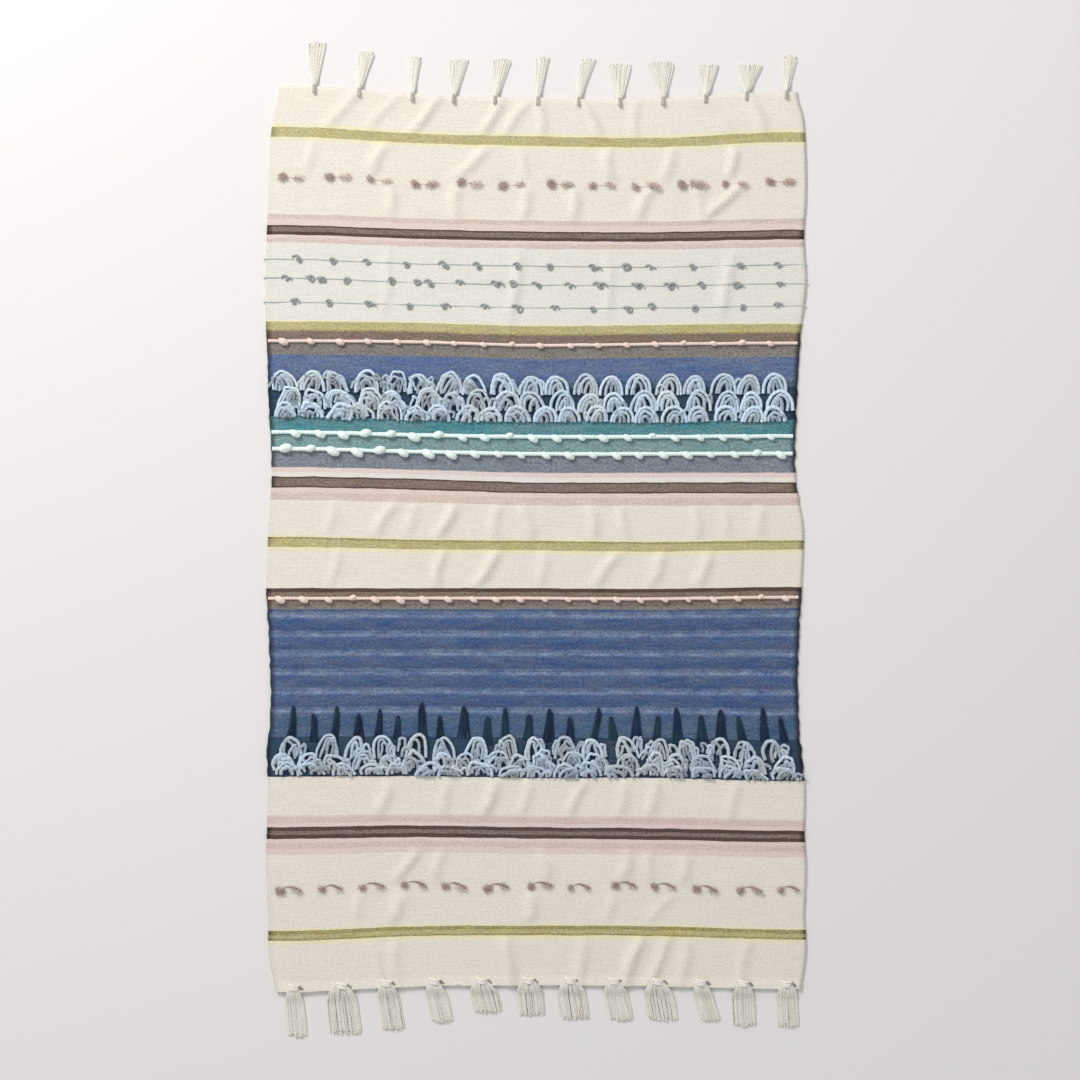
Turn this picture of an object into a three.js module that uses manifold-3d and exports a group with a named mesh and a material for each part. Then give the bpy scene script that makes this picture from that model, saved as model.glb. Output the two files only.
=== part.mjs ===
// A striped, flat-woven wool rug of about 3 by 5 feet, lying on a floor. The cloth is one sheet in low folds.
// Loop weft, knotted cords, curled yarns and tuft yarns lie on it, and a row of tassels hangs at each end.
// Sizes are in millimetres: X runs along the wefts, Y along the warps, and Z is up from the floor.

import * as THREE from 'three';
import { mergeVertices } from 'three/addons/utils/BufferGeometryUtils.js';
import Module from 'manifold-3d';

const wasm = await Module();
wasm.setup();

// Sizes of the cloth
const CLOTH_WIDTH = 924;
const CLOTH_LENGTH = 1524;
const CLOTH_THICK = 3;
const CLOTH_COLUMNS = 24;
const HALF_WIDTH = CLOTH_WIDTH / 2;
const HALF_LENGTH = CLOTH_LENGTH / 2;

// What lies on the cloth keeps this much room from it.
const GAP = 0.3;
const ON_CLOTH = CLOTH_THICK + GAP;

// How far each selvedge is drawn in from the widest line, from the bottom end to the top end
const SELVEDGES = [
  { along: -762, left: 19, right: 15 },
  { along: -740, left: 13, right: 8 },
  { along: -690, left: 5, right: 1 },
  { along: -640, left: 5, right: 3 },
  { along: -560, left: 1, right: 0 },
  { along: -500, left: 2, right: 3 },
  { along: -420, left: 4, right: 2 },
  { along: -360, left: 2, right: 8 },
  { along: -300, left: 8, right: 13 },
  { along: -200, left: 7, right: 14 },
  { along: -80, left: 1, right: 8 },
  { along: 20, left: 5, right: 5 },
  { along: 100, left: 10, right: 17 },
  { along: 165, left: 8, right: 19 },
  { along: 350, left: 1, right: 10 },
  { along: 440, left: 0, right: 0 },
  { along: 520, left: 2, right: 4 },
  { along: 588, left: 5, right: 0 },
  { along: 665, left: 8, right: 1 },
  { along: 716, left: 14, right: 5 },
  { along: 762, left: 23, right: 16 },
];

// How far a weft bows towards the top end, at five places across the cloth
const BOW_ACROSS = [-440, -210, 0, 210, 440];
const BOWS = [
  { along: -762, rise: [-9, 1, 3, 1, -3] },
  { along: -663, rise: [-6, 2, 3, 2, -4] },
  { along: -496, rise: [1, 4, 1, -1, -5] },
  { along: -402, rise: [2, 3, 0, 0, -5] },
  { along: -87, rise: [0, 0, 0, -1, 2] },
  { along: -3, rise: [6, 1, -1, -3, 0] },
  { along: 94, rise: [7, 3, -3, -3, -3] },
  { along: 180, rise: [6, 1, -2, -2, -1] },
  { along: 364, rise: [4, 2, -4, -2, 0] },
  { along: 440, rise: [9, 1, -3, -5, -1] },
  { along: 524, rise: [8, 1, -3, -4, 0] },
  { along: 686, rise: [12, 1, -4, -6, 3] },
  { along: 762, rise: [17, 1, -5, -6, 6] },
];

// The bands of the cloth from the top end down. Plain cream bands are soft and hold the folds, which run
// from the band's top line to its bottom line. Dense stripes, and the lines that carry yarns, lie flat. In
// the band with ribs every other line is a thick weft that stands up from the face.
const BANDS = [
  { top: 762, bottom: 741, rows: 1, folds: [] },
  {
    top: 741, bottom: 695, rows: 3,
    folds: [
      { from: -349, to: -368, high: 3 }, { from: -244, to: -296, high: 3 }, { from: -177, to: -226, high: 6 },
      { from: -83, to: -96, high: 4 }, { from: 4, to: 3, high: 4 }, { from: 75, to: 110, high: 6 },
      { from: 172, to: 166, high: 3 }, { from: 297, to: 337, high: 4 }, { from: 370, to: 394, high: 5 },
    ],
  },
  { top: 695, bottom: 676, rows: 1, folds: [] },
  {
    top: 676, bottom: 622, rows: 3,
    folds: [
      { from: -391, to: -396, high: 3 }, { from: -265, to: -286, high: 4 }, { from: -83, to: -138, high: 4 },
      { from: -32, to: -20, high: 3 }, { from: 118, to: 124, high: 5 }, { from: 234, to: 214, high: 4 },
      { from: 339, to: 333, high: 6 },
    ],
  },
  { top: 622, bottom: 602, rows: 1, folds: [] },
  {
    top: 602, bottom: 545, rows: 3,
    folds: [
      { from: -254, to: -248, high: 3 }, { from: -134, to: -141, high: 4 }, { from: -15, to: -28, high: 4 },
      { from: 58, to: 67, high: 4 }, { from: 195, to: 172, high: 4 }, { from: 274, to: 280, high: 3 },
      { from: 342, to: 290, high: 6 },
    ],
  },
  { top: 545, bottom: 375, rows: 2, folds: [] },
  { top: 375, bottom: 66, rows: 3, folds: [] },
  {
    top: 66, bottom: 7, rows: 3,
    folds: [
      { from: -354, to: -356, high: 3 }, { from: -248, to: -268, high: 4 }, { from: -146, to: -158, high: 6 },
      { from: -66, to: -72, high: 3 }, { from: -30, to: -14, high: 4 }, { from: 86, to: 98, high: 3 },
      { from: 146, to: 149, high: 4 }, { from: 277, to: 280, high: 5 }, { from: 325, to: 336, high: 3 },
    ],
  },
  { top: 7, bottom: -13, rows: 1, folds: [] },
  {
    top: -13, bottom: -78, rows: 3,
    folds: [
      { from: -339, to: -350, high: 3 }, { from: -160, to: -169, high: 5 }, { from: -62, to: -102, high: 7 },
      { from: 12, to: 10, high: 3 }, { from: 229, to: 196, high: 4 }, { from: 288, to: 288, high: 4 },
    ],
  },
  { top: -78, bottom: -110, rows: 1, folds: [] },
  { top: -110, bottom: -306, rows: 12, folds: [], ribs: 1.2 },
  { top: -306, bottom: -412, rows: 2, folds: [] },
  {
    top: -412, bottom: -468, rows: 3,
    folds: [
      { from: -254, to: -262, high: 6 }, { from: -148, to: -160, high: 4 }, { from: -68, to: -90, high: 6 },
      { from: -15, to: -24, high: 4 }, { from: 88, to: 60, high: 6 }, { from: 197, to: 194, high: 5 },
      { from: 245, to: 254, high: 3 }, { from: 340, to: 336, high: 3 },
    ],
  },
  { top: -468, bottom: -525, rows: 1, folds: [] },
  {
    top: -525, bottom: -583, rows: 3,
    folds: [
      { from: -208, to: -237, high: 6 }, { from: -163, to: -175, high: 4 }, { from: 13, to: 10, high: 4 },
      { from: 155, to: 152, high: 5 }, { from: 217, to: 192, high: 4 }, { from: 263, to: 250, high: 4 },
    ],
  },
  { top: -583, bottom: -602, rows: 1, folds: [] },
  {
    top: -602, bottom: -654, rows: 3,
    folds: [
      { from: -305, to: -312, high: 3 }, { from: -237, to: -244, high: 6 }, { from: 2, to: -15, high: 4 },
      { from: 131, to: 121, high: 3 }, { from: 240, to: 182, high: 3 },
    ],
  },
  { top: -654, bottom: -672, rows: 1, folds: [] },
  {
    top: -672, bottom: -741, rows: 3,
    folds: [
      { from: -285, to: -274, high: 3 }, { from: -243, to: -246, high: 4 }, { from: -52, to: -52, high: 6 },
      { from: 81, to: 72, high: 4 }, { from: 172, to: 143, high: 6 }, { from: 223, to: 192, high: 4 },
      { from: 254, to: 251, high: 5 }, { from: 359, to: 353, high: 4 },
    ],
  },
  { top: -741, bottom: -762, rows: 1, folds: [] },
];

// Rows of pale blue loops: the line of their feet, the loops across, how far they reach, and where the first
// and the last one stand. The top row of a band is rounder than those below it.
const LOOP_ROWS = [
  { name: 'pale_loops_upper_1', foot: 260, loops: 19, first: -434, last: 426, reach: 28, seed: 0, top: true },
  { name: 'pale_loops_upper_2', foot: 231, loops: 19, first: -428, last: 432, reach: 25, seed: 1 },
  { name: 'pale_loops_upper_3', foot: 208, loops: 20, first: -434, last: 428, reach: 19, seed: 2 },
  { name: 'pale_loops_lower_1', foot: -364, loops: 17, first: -416, last: 420, reach: 28, seed: 3, top: true },
  { name: 'pale_loops_lower_2', foot: -386, loops: 20, first: -432, last: 428, reach: 18, seed: 4 },
  { name: 'pale_loops_lower_3', foot: -406, loops: 19, first: -426, last: 430, reach: 17, seed: 5 },
];
// The bundle at a loop's foot, side and crown. Aside is in shares of the loops' pitch, and up is in shares of
// the reach, which the bundle's own width makes up to the full one.
const LOOP_FOOT = { aside: 0.38, up: 0, lift: 0, wide: 7, high: 4 };
const LOOP_SIDE = { aside: 0.34, up: 0.5, lift: 3.5, wide: 10, high: 5 };
const LOOP_CROWN = { aside: 0.19, up: 0.92, lift: 5, wide: 10, high: 5 };
const LOOP_DRIFT = 1;
const LOOP_LEAN = 1.5;
const REACH_SPREAD = 0.06;

// Long, narrow navy loops stand above the lower rows, a tall one and a short one in turn.
const NAVY = {
  foot: -325, loops: 24, first: -421, last: 437, tall: 45, short: 29, drift: 3, lean: 4, seed: 11,
};
const NAVY_FOOT = { aside: 12, up: 0, lift: 0, wide: 6, high: 5 };
const NAVY_SIDE = { aside: 4, up: 0.85, lift: 3, wide: 6, high: 5 };
const NAVY_CROWN = { aside: 0, up: 1, lift: 3, wide: 7, high: 5 };

// Yarns laid in along the wefts, with lumps that are knots, curls or tufts. Size is one of the four below.
// The knots and tufts are evenly spaced. Each curl has its own place.
const LUMPED_YARNS = [
  { name: 'peach_knot_cord_1', along: 338, lumps: 18, first: -434, last: 410, size: 'peach', seed: 20 },
  { name: 'white_knot_cord_1', along: 180, lumps: 21, first: -417, last: 417, size: 'white', seed: 21 },
  { name: 'white_knot_cord_2', along: 151, lumps: 22, first: -435, last: 437, size: 'white', seed: 22 },
  { name: 'peach_knot_cord_2', along: -98, lumps: 22, first: -439, last: 434, size: 'peach', seed: 23 },
  {
    name: 'grey_curl_yarn_1', along: 473, size: 'curls', seed: 30,
    places: [-407, -347, -289, -221, -156, -99, -32, 24, 101, 156, 196, 269, 350, 415],
  },
  {
    name: 'grey_curl_yarn_2', along: 441, size: 'curls', seed: 31,
    places: [-426, -386, -366, -323, -246, -202, -181, -130, -67, -39, 2, 58, 109, 173, 229, 284, 345, 417],
  },
  {
    name: 'grey_curl_yarn_3', along: 402, size: 'curls', seed: 32,
    places: [-412, -352, -283, -215, -154, -86, -29, 34, 100, 160, 201, 275, 357, 417],
  },
  { name: 'brown_tuft_yarn_1', along: 612, lumps: 12, first: -423, last: 414, size: 'tufts', seed: 40 },
  { name: 'brown_tuft_yarn_2', along: -593, lumps: 13, first: -426, last: 433, size: 'tufts', seed: 41 },
];
// The yarn's width and height, its lump's width, height and length, how far its ends pass the selvedges, and
// how far a lump may be off its step. Tufts stand in pairs this far apart.
const LUMP_SIZES = {
  peach: { wide: 5, high: 4, lumpWide: 9, lumpHigh: 6, long: 13, past: -6, drift: 2, pair: 0 },
  white: { wide: 6, high: 4, lumpWide: 13, lumpHigh: 8, long: 13, past: -6, drift: 2, pair: 0 },
  curls: { wide: 2.5, high: 2, lumpWide: 14, lumpHigh: 5, long: 17, past: 4, drift: 0, pair: 0 },
  tufts: { wide: 2.5, high: 1.5, lumpWide: 12, lumpHigh: 5, long: 18, past: -2, drift: 3, pair: 29 },
};
const LUMP_SPREAD = 0.15;
const LUMP_SHIFT = 1.5;

// Tassels: where each is knotted, how far it reaches past the end, how far its tip leans to the right, and
// how wide it spreads
const TOP_TASSELS = [
  { across: -400, reach: 76, lean: 5, spread: 29 }, { across: -320, reach: 66, lean: 15, spread: 24 },
  { across: -225, reach: 66, lean: 6, spread: 18 }, { across: -151, reach: 64, lean: 10, spread: 32 },
  { across: -77, reach: 67, lean: 13, spread: 29 }, { across: -1, reach: 72, lean: 10, spread: 21 },
  { across: 72, reach: 70, lean: 18, spread: 24 }, { across: 145, reach: 62, lean: 0, spread: 38 },
  { across: 222, reach: 64, lean: -2, spread: 44 }, { across: 298, reach: 55, lean: 6, spread: 36 },
  { across: 371, reach: 50, lean: 8, spread: 41 }, { across: 442, reach: 63, lean: 8, spread: 22 },
];
const BOTTOM_TASSELS = [
  { across: -432, reach: 77, lean: 7, spread: 27 }, { across: -347, reach: 77, lean: 9, spread: 49 },
  { across: -268, reach: 73, lean: 12, spread: 34 }, { across: -184, reach: 63, lean: 15, spread: 32 },
  { across: -100, reach: 48, lean: 12, spread: 43 }, { across: -18, reach: 53, lean: 5, spread: 46 },
  { across: 56, reach: 59, lean: 9, spread: 48 }, { across: 133, reach: 61, lean: 14, spread: 37 },
  { across: 210, reach: 60, lean: 11, spread: 46 }, { across: 286, reach: 59, lean: 17, spread: 31 },
  { across: 361, reach: 66, lean: 3, spread: 37 }, { across: 437, reach: 66, lean: 3, spread: 34 },
];
// The knot and the neck, by how far out past the cloth's end, then the flare that meets the floor, then the
// locks, which part from one another there
const TASSEL_BODY = [
  { out: -19, wide: 8, high: 4 },
  { out: -11, wide: 17, high: 9 },
  { out: -1, wide: 11, high: 6 },
  { out: 4, wide: 15, high: 7 },
];
const TASSEL_FLARE = { out: 18, narrow: 15, wider: 1.2, high: 7 };
const TASSEL_LOCKS = { count: 6, root: 12, part: 21, high: 3.4, share: 0.8, shorter: 0.08 };

const MATERIALS = {
  cloth: new THREE.MeshStandardMaterial({ color: '#E9E2D6', roughness: 0.95, metalness: 0 }),
  peach: new THREE.MeshStandardMaterial({ color: '#EFC9BA', roughness: 0.9, metalness: 0 }),
  white: new THREE.MeshStandardMaterial({ color: '#E6F6F3', roughness: 0.9, metalness: 0 }),
  loops: new THREE.MeshStandardMaterial({ color: '#A9BBC6', roughness: 0.95, metalness: 0 }),
  navy: new THREE.MeshStandardMaterial({ color: '#22405C', roughness: 0.95, metalness: 0 }),
  curls: new THREE.MeshStandardMaterial({ color: '#8E999C', roughness: 0.95, metalness: 0 }),
  tufts: new THREE.MeshStandardMaterial({ color: '#93796C', roughness: 0.95, metalness: 0 }),
  tassels: new THREE.MeshStandardMaterial({ color: '#DDD5C8', roughness: 0.95, metalness: 0 }),
};

// A smooth curve through values at rising stops, level at both ends
function smoothThrough(stops, values, t) {
  const last = stops.length - 1;
  if (t <= stops[0]) return values[0];
  if (t >= stops[last]) return values[last];
  let i = 0;
  while (t > stops[i + 1]) i += 1;
  const rise = (k) => (values[k + 1] - values[k - 1]) / (stops[k + 1] - stops[k - 1]);
  const slope = (k) => (k <= 0 || k >= last ? 0 : rise(k));
  const span = stops[i + 1] - stops[i];
  const s = (t - stops[i]) / span;
  const ease = s * s * (3 - 2 * s);
  const leave = s * (1 - s) * (1 - s) * span * slope(i);
  const arrive = s * s * (s - 1) * span * slope(i + 1);
  return values[i] + (values[i + 1] - values[i]) * ease + leave + arrive;
}

// Where a point of the flat cloth lies on the floor plan
function place(across, along) {
  const stops = SELVEDGES.map((row) => row.along);
  const left = -HALF_WIDTH + smoothThrough(stops, SELVEDGES.map((row) => row.left), along);
  const right = HALF_WIDTH - smoothThrough(stops, SELVEDGES.map((row) => row.right), along);
  const bowStops = BOWS.map((row) => row.along);
  const rises = BOW_ACROSS.map((_, k) => smoothThrough(bowStops, BOWS.map((row) => row.rise[k]), along));
  const x = left + (right - left) * (across / CLOTH_WIDTH + 0.5);
  return [x, along + smoothThrough(BOW_ACROSS, rises, across)];
}

// A steady, uneven value from -1 to 1 for the piece numbered n
function uneven(n, seed) {
  return Math.sin(n * 2.39996 + seed * 1.7) * 0.6 + Math.sin(n * 5.13 + seed) * 0.4;
}

function closedMesh(positions, indices) {
  const geometry = new THREE.BufferGeometry();
  geometry.setAttribute('position', new THREE.Float32BufferAttribute(positions, 3));
  geometry.setIndex(indices);
  geometry.computeVertexNormals();
  return geometry;
}

// The lines of points across the cloth, from the top end down. A fold lifts the cloth at its crest, and a rib
// thickens it.
function clothRows() {
  const step = CLOTH_WIDTH / CLOTH_COLUMNS;
  const rows = [];
  BANDS.forEach((band, index) => {
    const first = index === 0 ? 0 : 1;
    for (let r = first; r <= band.rows; r += 1) {
      const share = r / band.rows;
      const along = band.top + (band.bottom - band.top) * share;
      const rib = band.ribs && r % 2 === 1 ? band.ribs : 0;
      const points = [];
      for (let c = 0; c <= CLOTH_COLUMNS; c += 1) {
        points.push({ across: -HALF_WIDTH + step * c, along, lift: 0, rib });
      }
      if (r > 0 && r < band.rows) {
        band.folds.forEach((fold) => {
          const crest = fold.from + (fold.to - fold.from) * share;
          const nearest = Math.round((crest + HALF_WIDTH) / step);
          points[nearest] = { across: crest, along, lift: fold.high, rib };
        });
      }
      rows.push(points);
    }
  });
  return rows;
}

// The cloth: one sheet that rises off the floor only in its folds
function clothGeometry() {
  const rows = clothRows();
  const wide = CLOTH_COLUMNS + 1;
  const count = rows.length * wide;
  const positions = [];
  [true, false].forEach((isFace) => {
    rows.forEach((points) => points.forEach((point) => {
      const [x, y] = place(point.across, point.along);
      positions.push(x, y, point.lift + (isFace ? CLOTH_THICK + point.rib : 0));
    }));
  });
  const indices = [];
  const quad = (a, b, c, d) => indices.push(a, b, c, a, c, d);
  for (let r = 0; r < rows.length - 1; r += 1) {
    for (let c = 0; c < wide - 1; c += 1) {
      const a = r * wide + c;
      quad(a, a + wide, a + wide + 1, a + 1);
      quad(count + a, count + a + 1, count + a + wide + 1, count + a + wide);
    }
    const left = r * wide;
    const right = left + wide - 1;
    quad(left, count + left, count + left + wide, left + wide);
    quad(right, right + wide, count + right + wide, count + right);
  }
  for (let c = 0; c < wide - 1; c += 1) {
    const low = (rows.length - 1) * wide + c;
    quad(c, c + 1, count + c + 1, count + c);
    quad(low, count + low, count + low + 1, low + 1);
  }
  return closedMesh(positions, indices);
}

// The cross-sections of a yarn and of a tassel's knot, in shares of its width and its height
const RIDGED = [[-0.5, 0], [0.5, 0], [0, 1]];
const ROUNDED = [[-0.32, 0], [0.32, 0], [0.5, 0.5], [0, 1], [-0.5, 0.5]];

// A body with one cross-section all along, through stations of x, y, z, wide and high
function yarnGeometry(stations, section = RIDGED) {
  const positions = [];
  const sides = section.length;
  stations.forEach((station, i) => {
    const before = stations[Math.max(i - 1, 0)];
    const after = stations[Math.min(i + 1, stations.length - 1)];
    const into = new THREE.Vector2(station.x - before.x, station.y - before.y).normalize();
    const out = new THREE.Vector2(after.x - station.x, after.y - station.y).normalize();
    const way = into.clone().add(out).normalize();
    section.forEach(([side, up]) => {
      const away = side * station.wide;
      positions.push(station.x + way.y * away, station.y - way.x * away, station.z + up * station.high);
    });
  });
  const indices = [];
  for (let i = 0; i < stations.length - 1; i += 1) {
    for (let k = 0; k < sides; k += 1) {
      const a = i * sides + k;
      const b = i * sides + ((k + 1) % sides);
      indices.push(a, a + sides, b + sides, a, b + sides, b);
    }
  }
  const end = (stations.length - 1) * sides;
  for (let k = 1; k < sides - 1; k += 1) {
    indices.push(0, k, k + 1, end, end + k + 1, end + k);
  }
  return closedMesh(positions, indices);
}

// Places across, each a little uneven in size and lean
function unevenSpots(places, seed) {
  return places.map((across, i) => ({ across, size: uneven(i, seed + 4), lean: uneven(i, seed + 7) }));
}

// Evenly spaced places from the first to the last, each a little off its step
function spacedPlaces(row, count, drift) {
  const pitch = (row.last - row.first) / (count - 1);
  const places = Array.from({ length: count }, (_, i) => row.first + pitch * i + uneven(i, row.seed) * drift);
  return unevenSpots(places, row.seed);
}

function yarnPoint(across, along, lift, wide, high) {
  const [x, y] = place(across, along);
  return { x, y, z: ON_CLOTH + lift, wide, high };
}

// A weft bundle that runs along the feet and rises into one loop after another
function loopRowGeometry(row) {
  const pitch = (row.last - row.first) / (row.loops - 1);
  const stations = spacedPlaces(row, row.loops, LOOP_DRIFT).flatMap((spot) => {
    const reach = row.reach * (1 + spot.size * REACH_SPREAD);
    const point = (part, way) => {
      const across = spot.across + way * pitch * part.aside + spot.lean * LOOP_LEAN * part.up;
      return yarnPoint(across, row.foot + reach * part.up, part.lift, part.wide, part.high);
    };
    return row.top
      ? [point(LOOP_FOOT, -1), point(LOOP_SIDE, -1), point(LOOP_CROWN, -1),
        point(LOOP_CROWN, 1), point(LOOP_SIDE, 1), point(LOOP_FOOT, 1)]
      : [point(LOOP_FOOT, -1), point(LOOP_CROWN, -1), point(LOOP_CROWN, 1), point(LOOP_FOOT, 1)];
  });
  return yarnGeometry(stations);
}

// The navy bundle: narrow, pointed loops, tall and short in turn
function navyGeometry() {
  const stations = spacedPlaces(NAVY, NAVY.loops, NAVY.drift).flatMap((spot, i) => {
    const reach = (i % 2 === 0 ? NAVY.tall : NAVY.short) * (1 + spot.size * REACH_SPREAD);
    const point = (part, way) => {
      const across = spot.across + way * part.aside + spot.lean * NAVY.lean * part.up;
      return yarnPoint(across, NAVY.foot + reach * part.up, part.lift, part.wide, part.high);
    };
    return [point(NAVY_FOOT, -1), point(NAVY_SIDE, -1), point(NAVY_CROWN, 0),
      point(NAVY_SIDE, 1), point(NAVY_FOOT, 1)];
  });
  return yarnGeometry(stations);
}

// A straight laid-in yarn that swells into a lump at each of its places, or into two where they are in pairs
function lumpedYarnGeometry(yarn) {
  const size = LUMP_SIZES[yarn.size];
  const end = HALF_WIDTH + size.past;
  const thin = (across) => yarnPoint(across, yarn.along, 0, size.wide, size.high);
  const sides = size.pair > 0 ? [-0.5, 0.5] : [0];
  const spots = yarn.places
    ? unevenSpots(yarn.places, yarn.seed)
    : spacedPlaces(yarn, yarn.lumps, size.drift);
  const lumps = spots.flatMap((spot) => sides.flatMap((side) => {
    const across = spot.across + side * size.pair;
    const share = 1 + (spot.size - side) * LUMP_SPREAD;
    const shift = spot.lean * LUMP_SHIFT;
    return [
      thin(across - size.long / 2),
      yarnPoint(across, yarn.along + shift, 0, size.lumpWide * share, size.lumpHigh * share),
      thin(across + size.long / 2),
    ];
  }));
  return yarnGeometry([thin(-end), ...lumps, thin(end)]);
}

function toSolid(geometry) {
  const bare = geometry.clone();
  bare.deleteAttribute('normal');
  bare.deleteAttribute('uv');
  const merged = mergeVertices(bare, 1e-4);
  const vertProperties = new Float32Array(merged.attributes.position.array);
  const triVerts = new Uint32Array(merged.index.array);
  return new wasm.Manifold(new wasm.Mesh({ numProp: 3, vertProperties, triVerts }));
}

// A tassel: a round knot on the cloth, a neck that drops over the end, and locks that lie apart on the floor
function tasselGeometry(tassel, end) {
  const [x, y] = place(tassel.across, HALF_LENGTH * end);
  const leanAt = (out) => x + (tassel.lean * out) / tassel.reach;
  const widening = (tassel.spread - TASSEL_FLARE.narrow) / tassel.reach;
  const wideAt = (out) => TASSEL_FLARE.narrow + widening * out;
  const onCloth = TASSEL_BODY.map((row) => (
    { x: leanAt(row.out), y: y + row.out * end, z: ON_CLOTH + GAP, wide: row.wide, high: row.high }));
  const flare = TASSEL_FLARE.out;
  const skirt = wideAt(flare) * TASSEL_FLARE.wider;
  const onFloor = { x: leanAt(flare), y: y + flare * end, z: 0, wide: skirt, high: TASSEL_FLARE.high };
  const body = toSolid(yarnGeometry([...onCloth, onFloor], ROUNDED));

  const outline = [];
  const corner = (lane, out) => {
    outline.push(new THREE.Vector2(leanAt(out) + lane * wideAt(out), y + out * end));
  };
  const half = TASSEL_LOCKS.share / TASSEL_LOCKS.count / 2;
  corner(half - 0.5, TASSEL_LOCKS.root);
  for (let i = 0; i < TASSEL_LOCKS.count; i += 1) {
    const lane = (i + 0.5) / TASSEL_LOCKS.count - 0.5;
    const tip = tassel.reach * (1 - TASSEL_LOCKS.shorter * Math.abs(uneven(i, tassel.across)));
    corner(lane - half, TASSEL_LOCKS.part);
    corner(lane - half, tip);
    corner(lane + half, tip);
    corner(lane + half, TASSEL_LOCKS.part);
  }
  corner(0.5 - half, TASSEL_LOCKS.root);
  const depth = TASSEL_LOCKS.high;
  const comb = new THREE.ExtrudeGeometry(new THREE.Shape(outline), { depth, bevelEnabled: false });
  const mesh = body.add(toSolid(comb)).getMesh();
  return closedMesh(Array.from(mesh.vertProperties), Array.from(mesh.triVerts));
}

const rug = new THREE.Group();

function addPiece(name, geometry, material) {
  const mesh = new THREE.Mesh(geometry, material);
  mesh.name = name;
  rug.add(mesh);
}

addPiece('woven_cloth', clothGeometry(), MATERIALS.cloth);
addPiece('navy_loops', navyGeometry(), MATERIALS.navy);
LOOP_ROWS.forEach((row) => addPiece(row.name, loopRowGeometry(row), MATERIALS.loops));
LUMPED_YARNS.forEach((yarn) => addPiece(yarn.name, lumpedYarnGeometry(yarn), MATERIALS[yarn.size]));

function addTassels(label, tassels, end) {
  tassels.forEach((tassel, i) => {
    const number = String(i + 1).padStart(2, '0');
    addPiece(`tassel_${label}_${number}`, tasselGeometry(tassel, end), MATERIALS.tassels);
  });
}

addTassels('top', TOP_TASSELS, 1);
addTassels('bottom', BOTTOM_TASSELS, -1);

// The origin is on the floor, at the middle of the whole rug with its tassels.
const box = new THREE.Box3().setFromObject(rug);
rug.position.set(-(box.min.x + box.max.x) / 2, -(box.min.y + box.max.y) / 2, -box.min.z);

export default rug;
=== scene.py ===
"""A striped, flat-woven wool rug of about 3 by 5 feet with loops, knotted cords, curls, tufts and tassels."""

import math
import random

import bpy
from bpy.props import FloatProperty, FloatVectorProperty, IntProperty, PointerProperty
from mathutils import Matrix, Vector, noise


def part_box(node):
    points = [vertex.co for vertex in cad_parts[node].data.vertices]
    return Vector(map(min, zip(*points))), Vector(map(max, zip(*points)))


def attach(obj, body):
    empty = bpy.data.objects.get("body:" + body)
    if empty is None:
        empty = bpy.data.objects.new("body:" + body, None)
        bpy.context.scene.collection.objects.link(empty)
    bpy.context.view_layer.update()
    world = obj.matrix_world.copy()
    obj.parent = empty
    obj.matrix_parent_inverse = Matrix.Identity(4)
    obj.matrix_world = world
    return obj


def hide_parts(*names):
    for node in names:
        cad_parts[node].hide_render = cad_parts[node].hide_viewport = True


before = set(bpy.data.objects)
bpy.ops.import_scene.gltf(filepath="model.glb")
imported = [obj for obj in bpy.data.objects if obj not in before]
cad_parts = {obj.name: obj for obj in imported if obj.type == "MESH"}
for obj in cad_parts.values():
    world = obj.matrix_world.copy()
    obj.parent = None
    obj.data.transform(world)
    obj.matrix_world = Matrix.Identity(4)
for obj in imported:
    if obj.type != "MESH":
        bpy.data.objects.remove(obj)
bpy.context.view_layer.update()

bl_info = {
    "name": "Flat-Woven Wool Rug",
    "version": (1, 0, 0),
    "blender": (4, 5, 0),
    "location": "View3D > Sidebar > Rug",
    "description": "Weaves a striped wool rug with loop bands, knotted cords, tufts and tassels",
    "category": "Add Mesh",
}

MM = 0.001
BODY = "root"
CLOTH_NODE = "woven_cloth"

# The cloth's patterns: the size of a patch along a weft and across the wefts, in millimetres, its detail and
# its roughness. A pick is as wide as the weft pitch.
PATTERNS = {
    "wander": (45.4545, 20.0, 2.0, 0.5),
    "rib": (25.0, 14.2857, 4.0, 0.7),
    "dye": (55.5556, 12.5, 5.0, 0.7),
    "pick": (33.3333, 0.0, 1.0, 0.5),
    "nap": (5.0, 3.84615, 2.0, 0.6),
    "fuzz": (2.0, 1.25, 3.0, 0.5),
}
WANDER_HEIGHT = 3.2

# How large the patches in a yarn and in a tuft are, in millimetres
YARN_FLUFF = 2.38095
YARN_DYE = 62.5
TUFT_PINK = 5.55556
TUFT_FLUFF = 2.0

# How far the dye drifts in hue, where 0.5 is none, in depth and in lightness
DYE_DRIFT = ((0.485, 0.515), (0.72, 1.18), (0.88, 1.1))

# How far in from the selvedge the dark edge of a dyed band starts, and how far in it is full
# The dark edge is partly the turning wefts' own colour and partly painted shade.
EDGE_DARK_AND_SHADE = (11.0, 3.0)

# How far from a rib's middle its light tone ends, and how far out it is full
RIB_TONE = (8.0, 3.0)

# The flat cloth, in millimetres: across runs along the wefts, and along runs towards the top end.
CLOTH_WIDTH = 924.0
CLOTH_LENGTH = 1524.0
CLOTH_THICK = 3.0
HALF_WIDTH = CLOTH_WIDTH / 2
HALF_LENGTH = CLOTH_LENGTH / 2

# How far each selvedge is drawn in from the widest line: along, left, right
SELVEDGES = (
    (-762, 19, 10), (-740, 13, 5), (-690, 5, 0), (-640, 5, 3), (-560, 1, 0), (-500, 2, 3), (-420, 4, 2),
    (-360, 2, 8), (-300, 8, 13), (-200, 7, 14), (-80, 1, 8), (20, 5, 5), (100, 10, 17), (165, 8, 19),
    (350, 1, 10), (440, 0, 0), (520, 2, 4), (588, 5, 0), (665, 8, 1), (716, 14, 5), (762, 23, 16),
)

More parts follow.
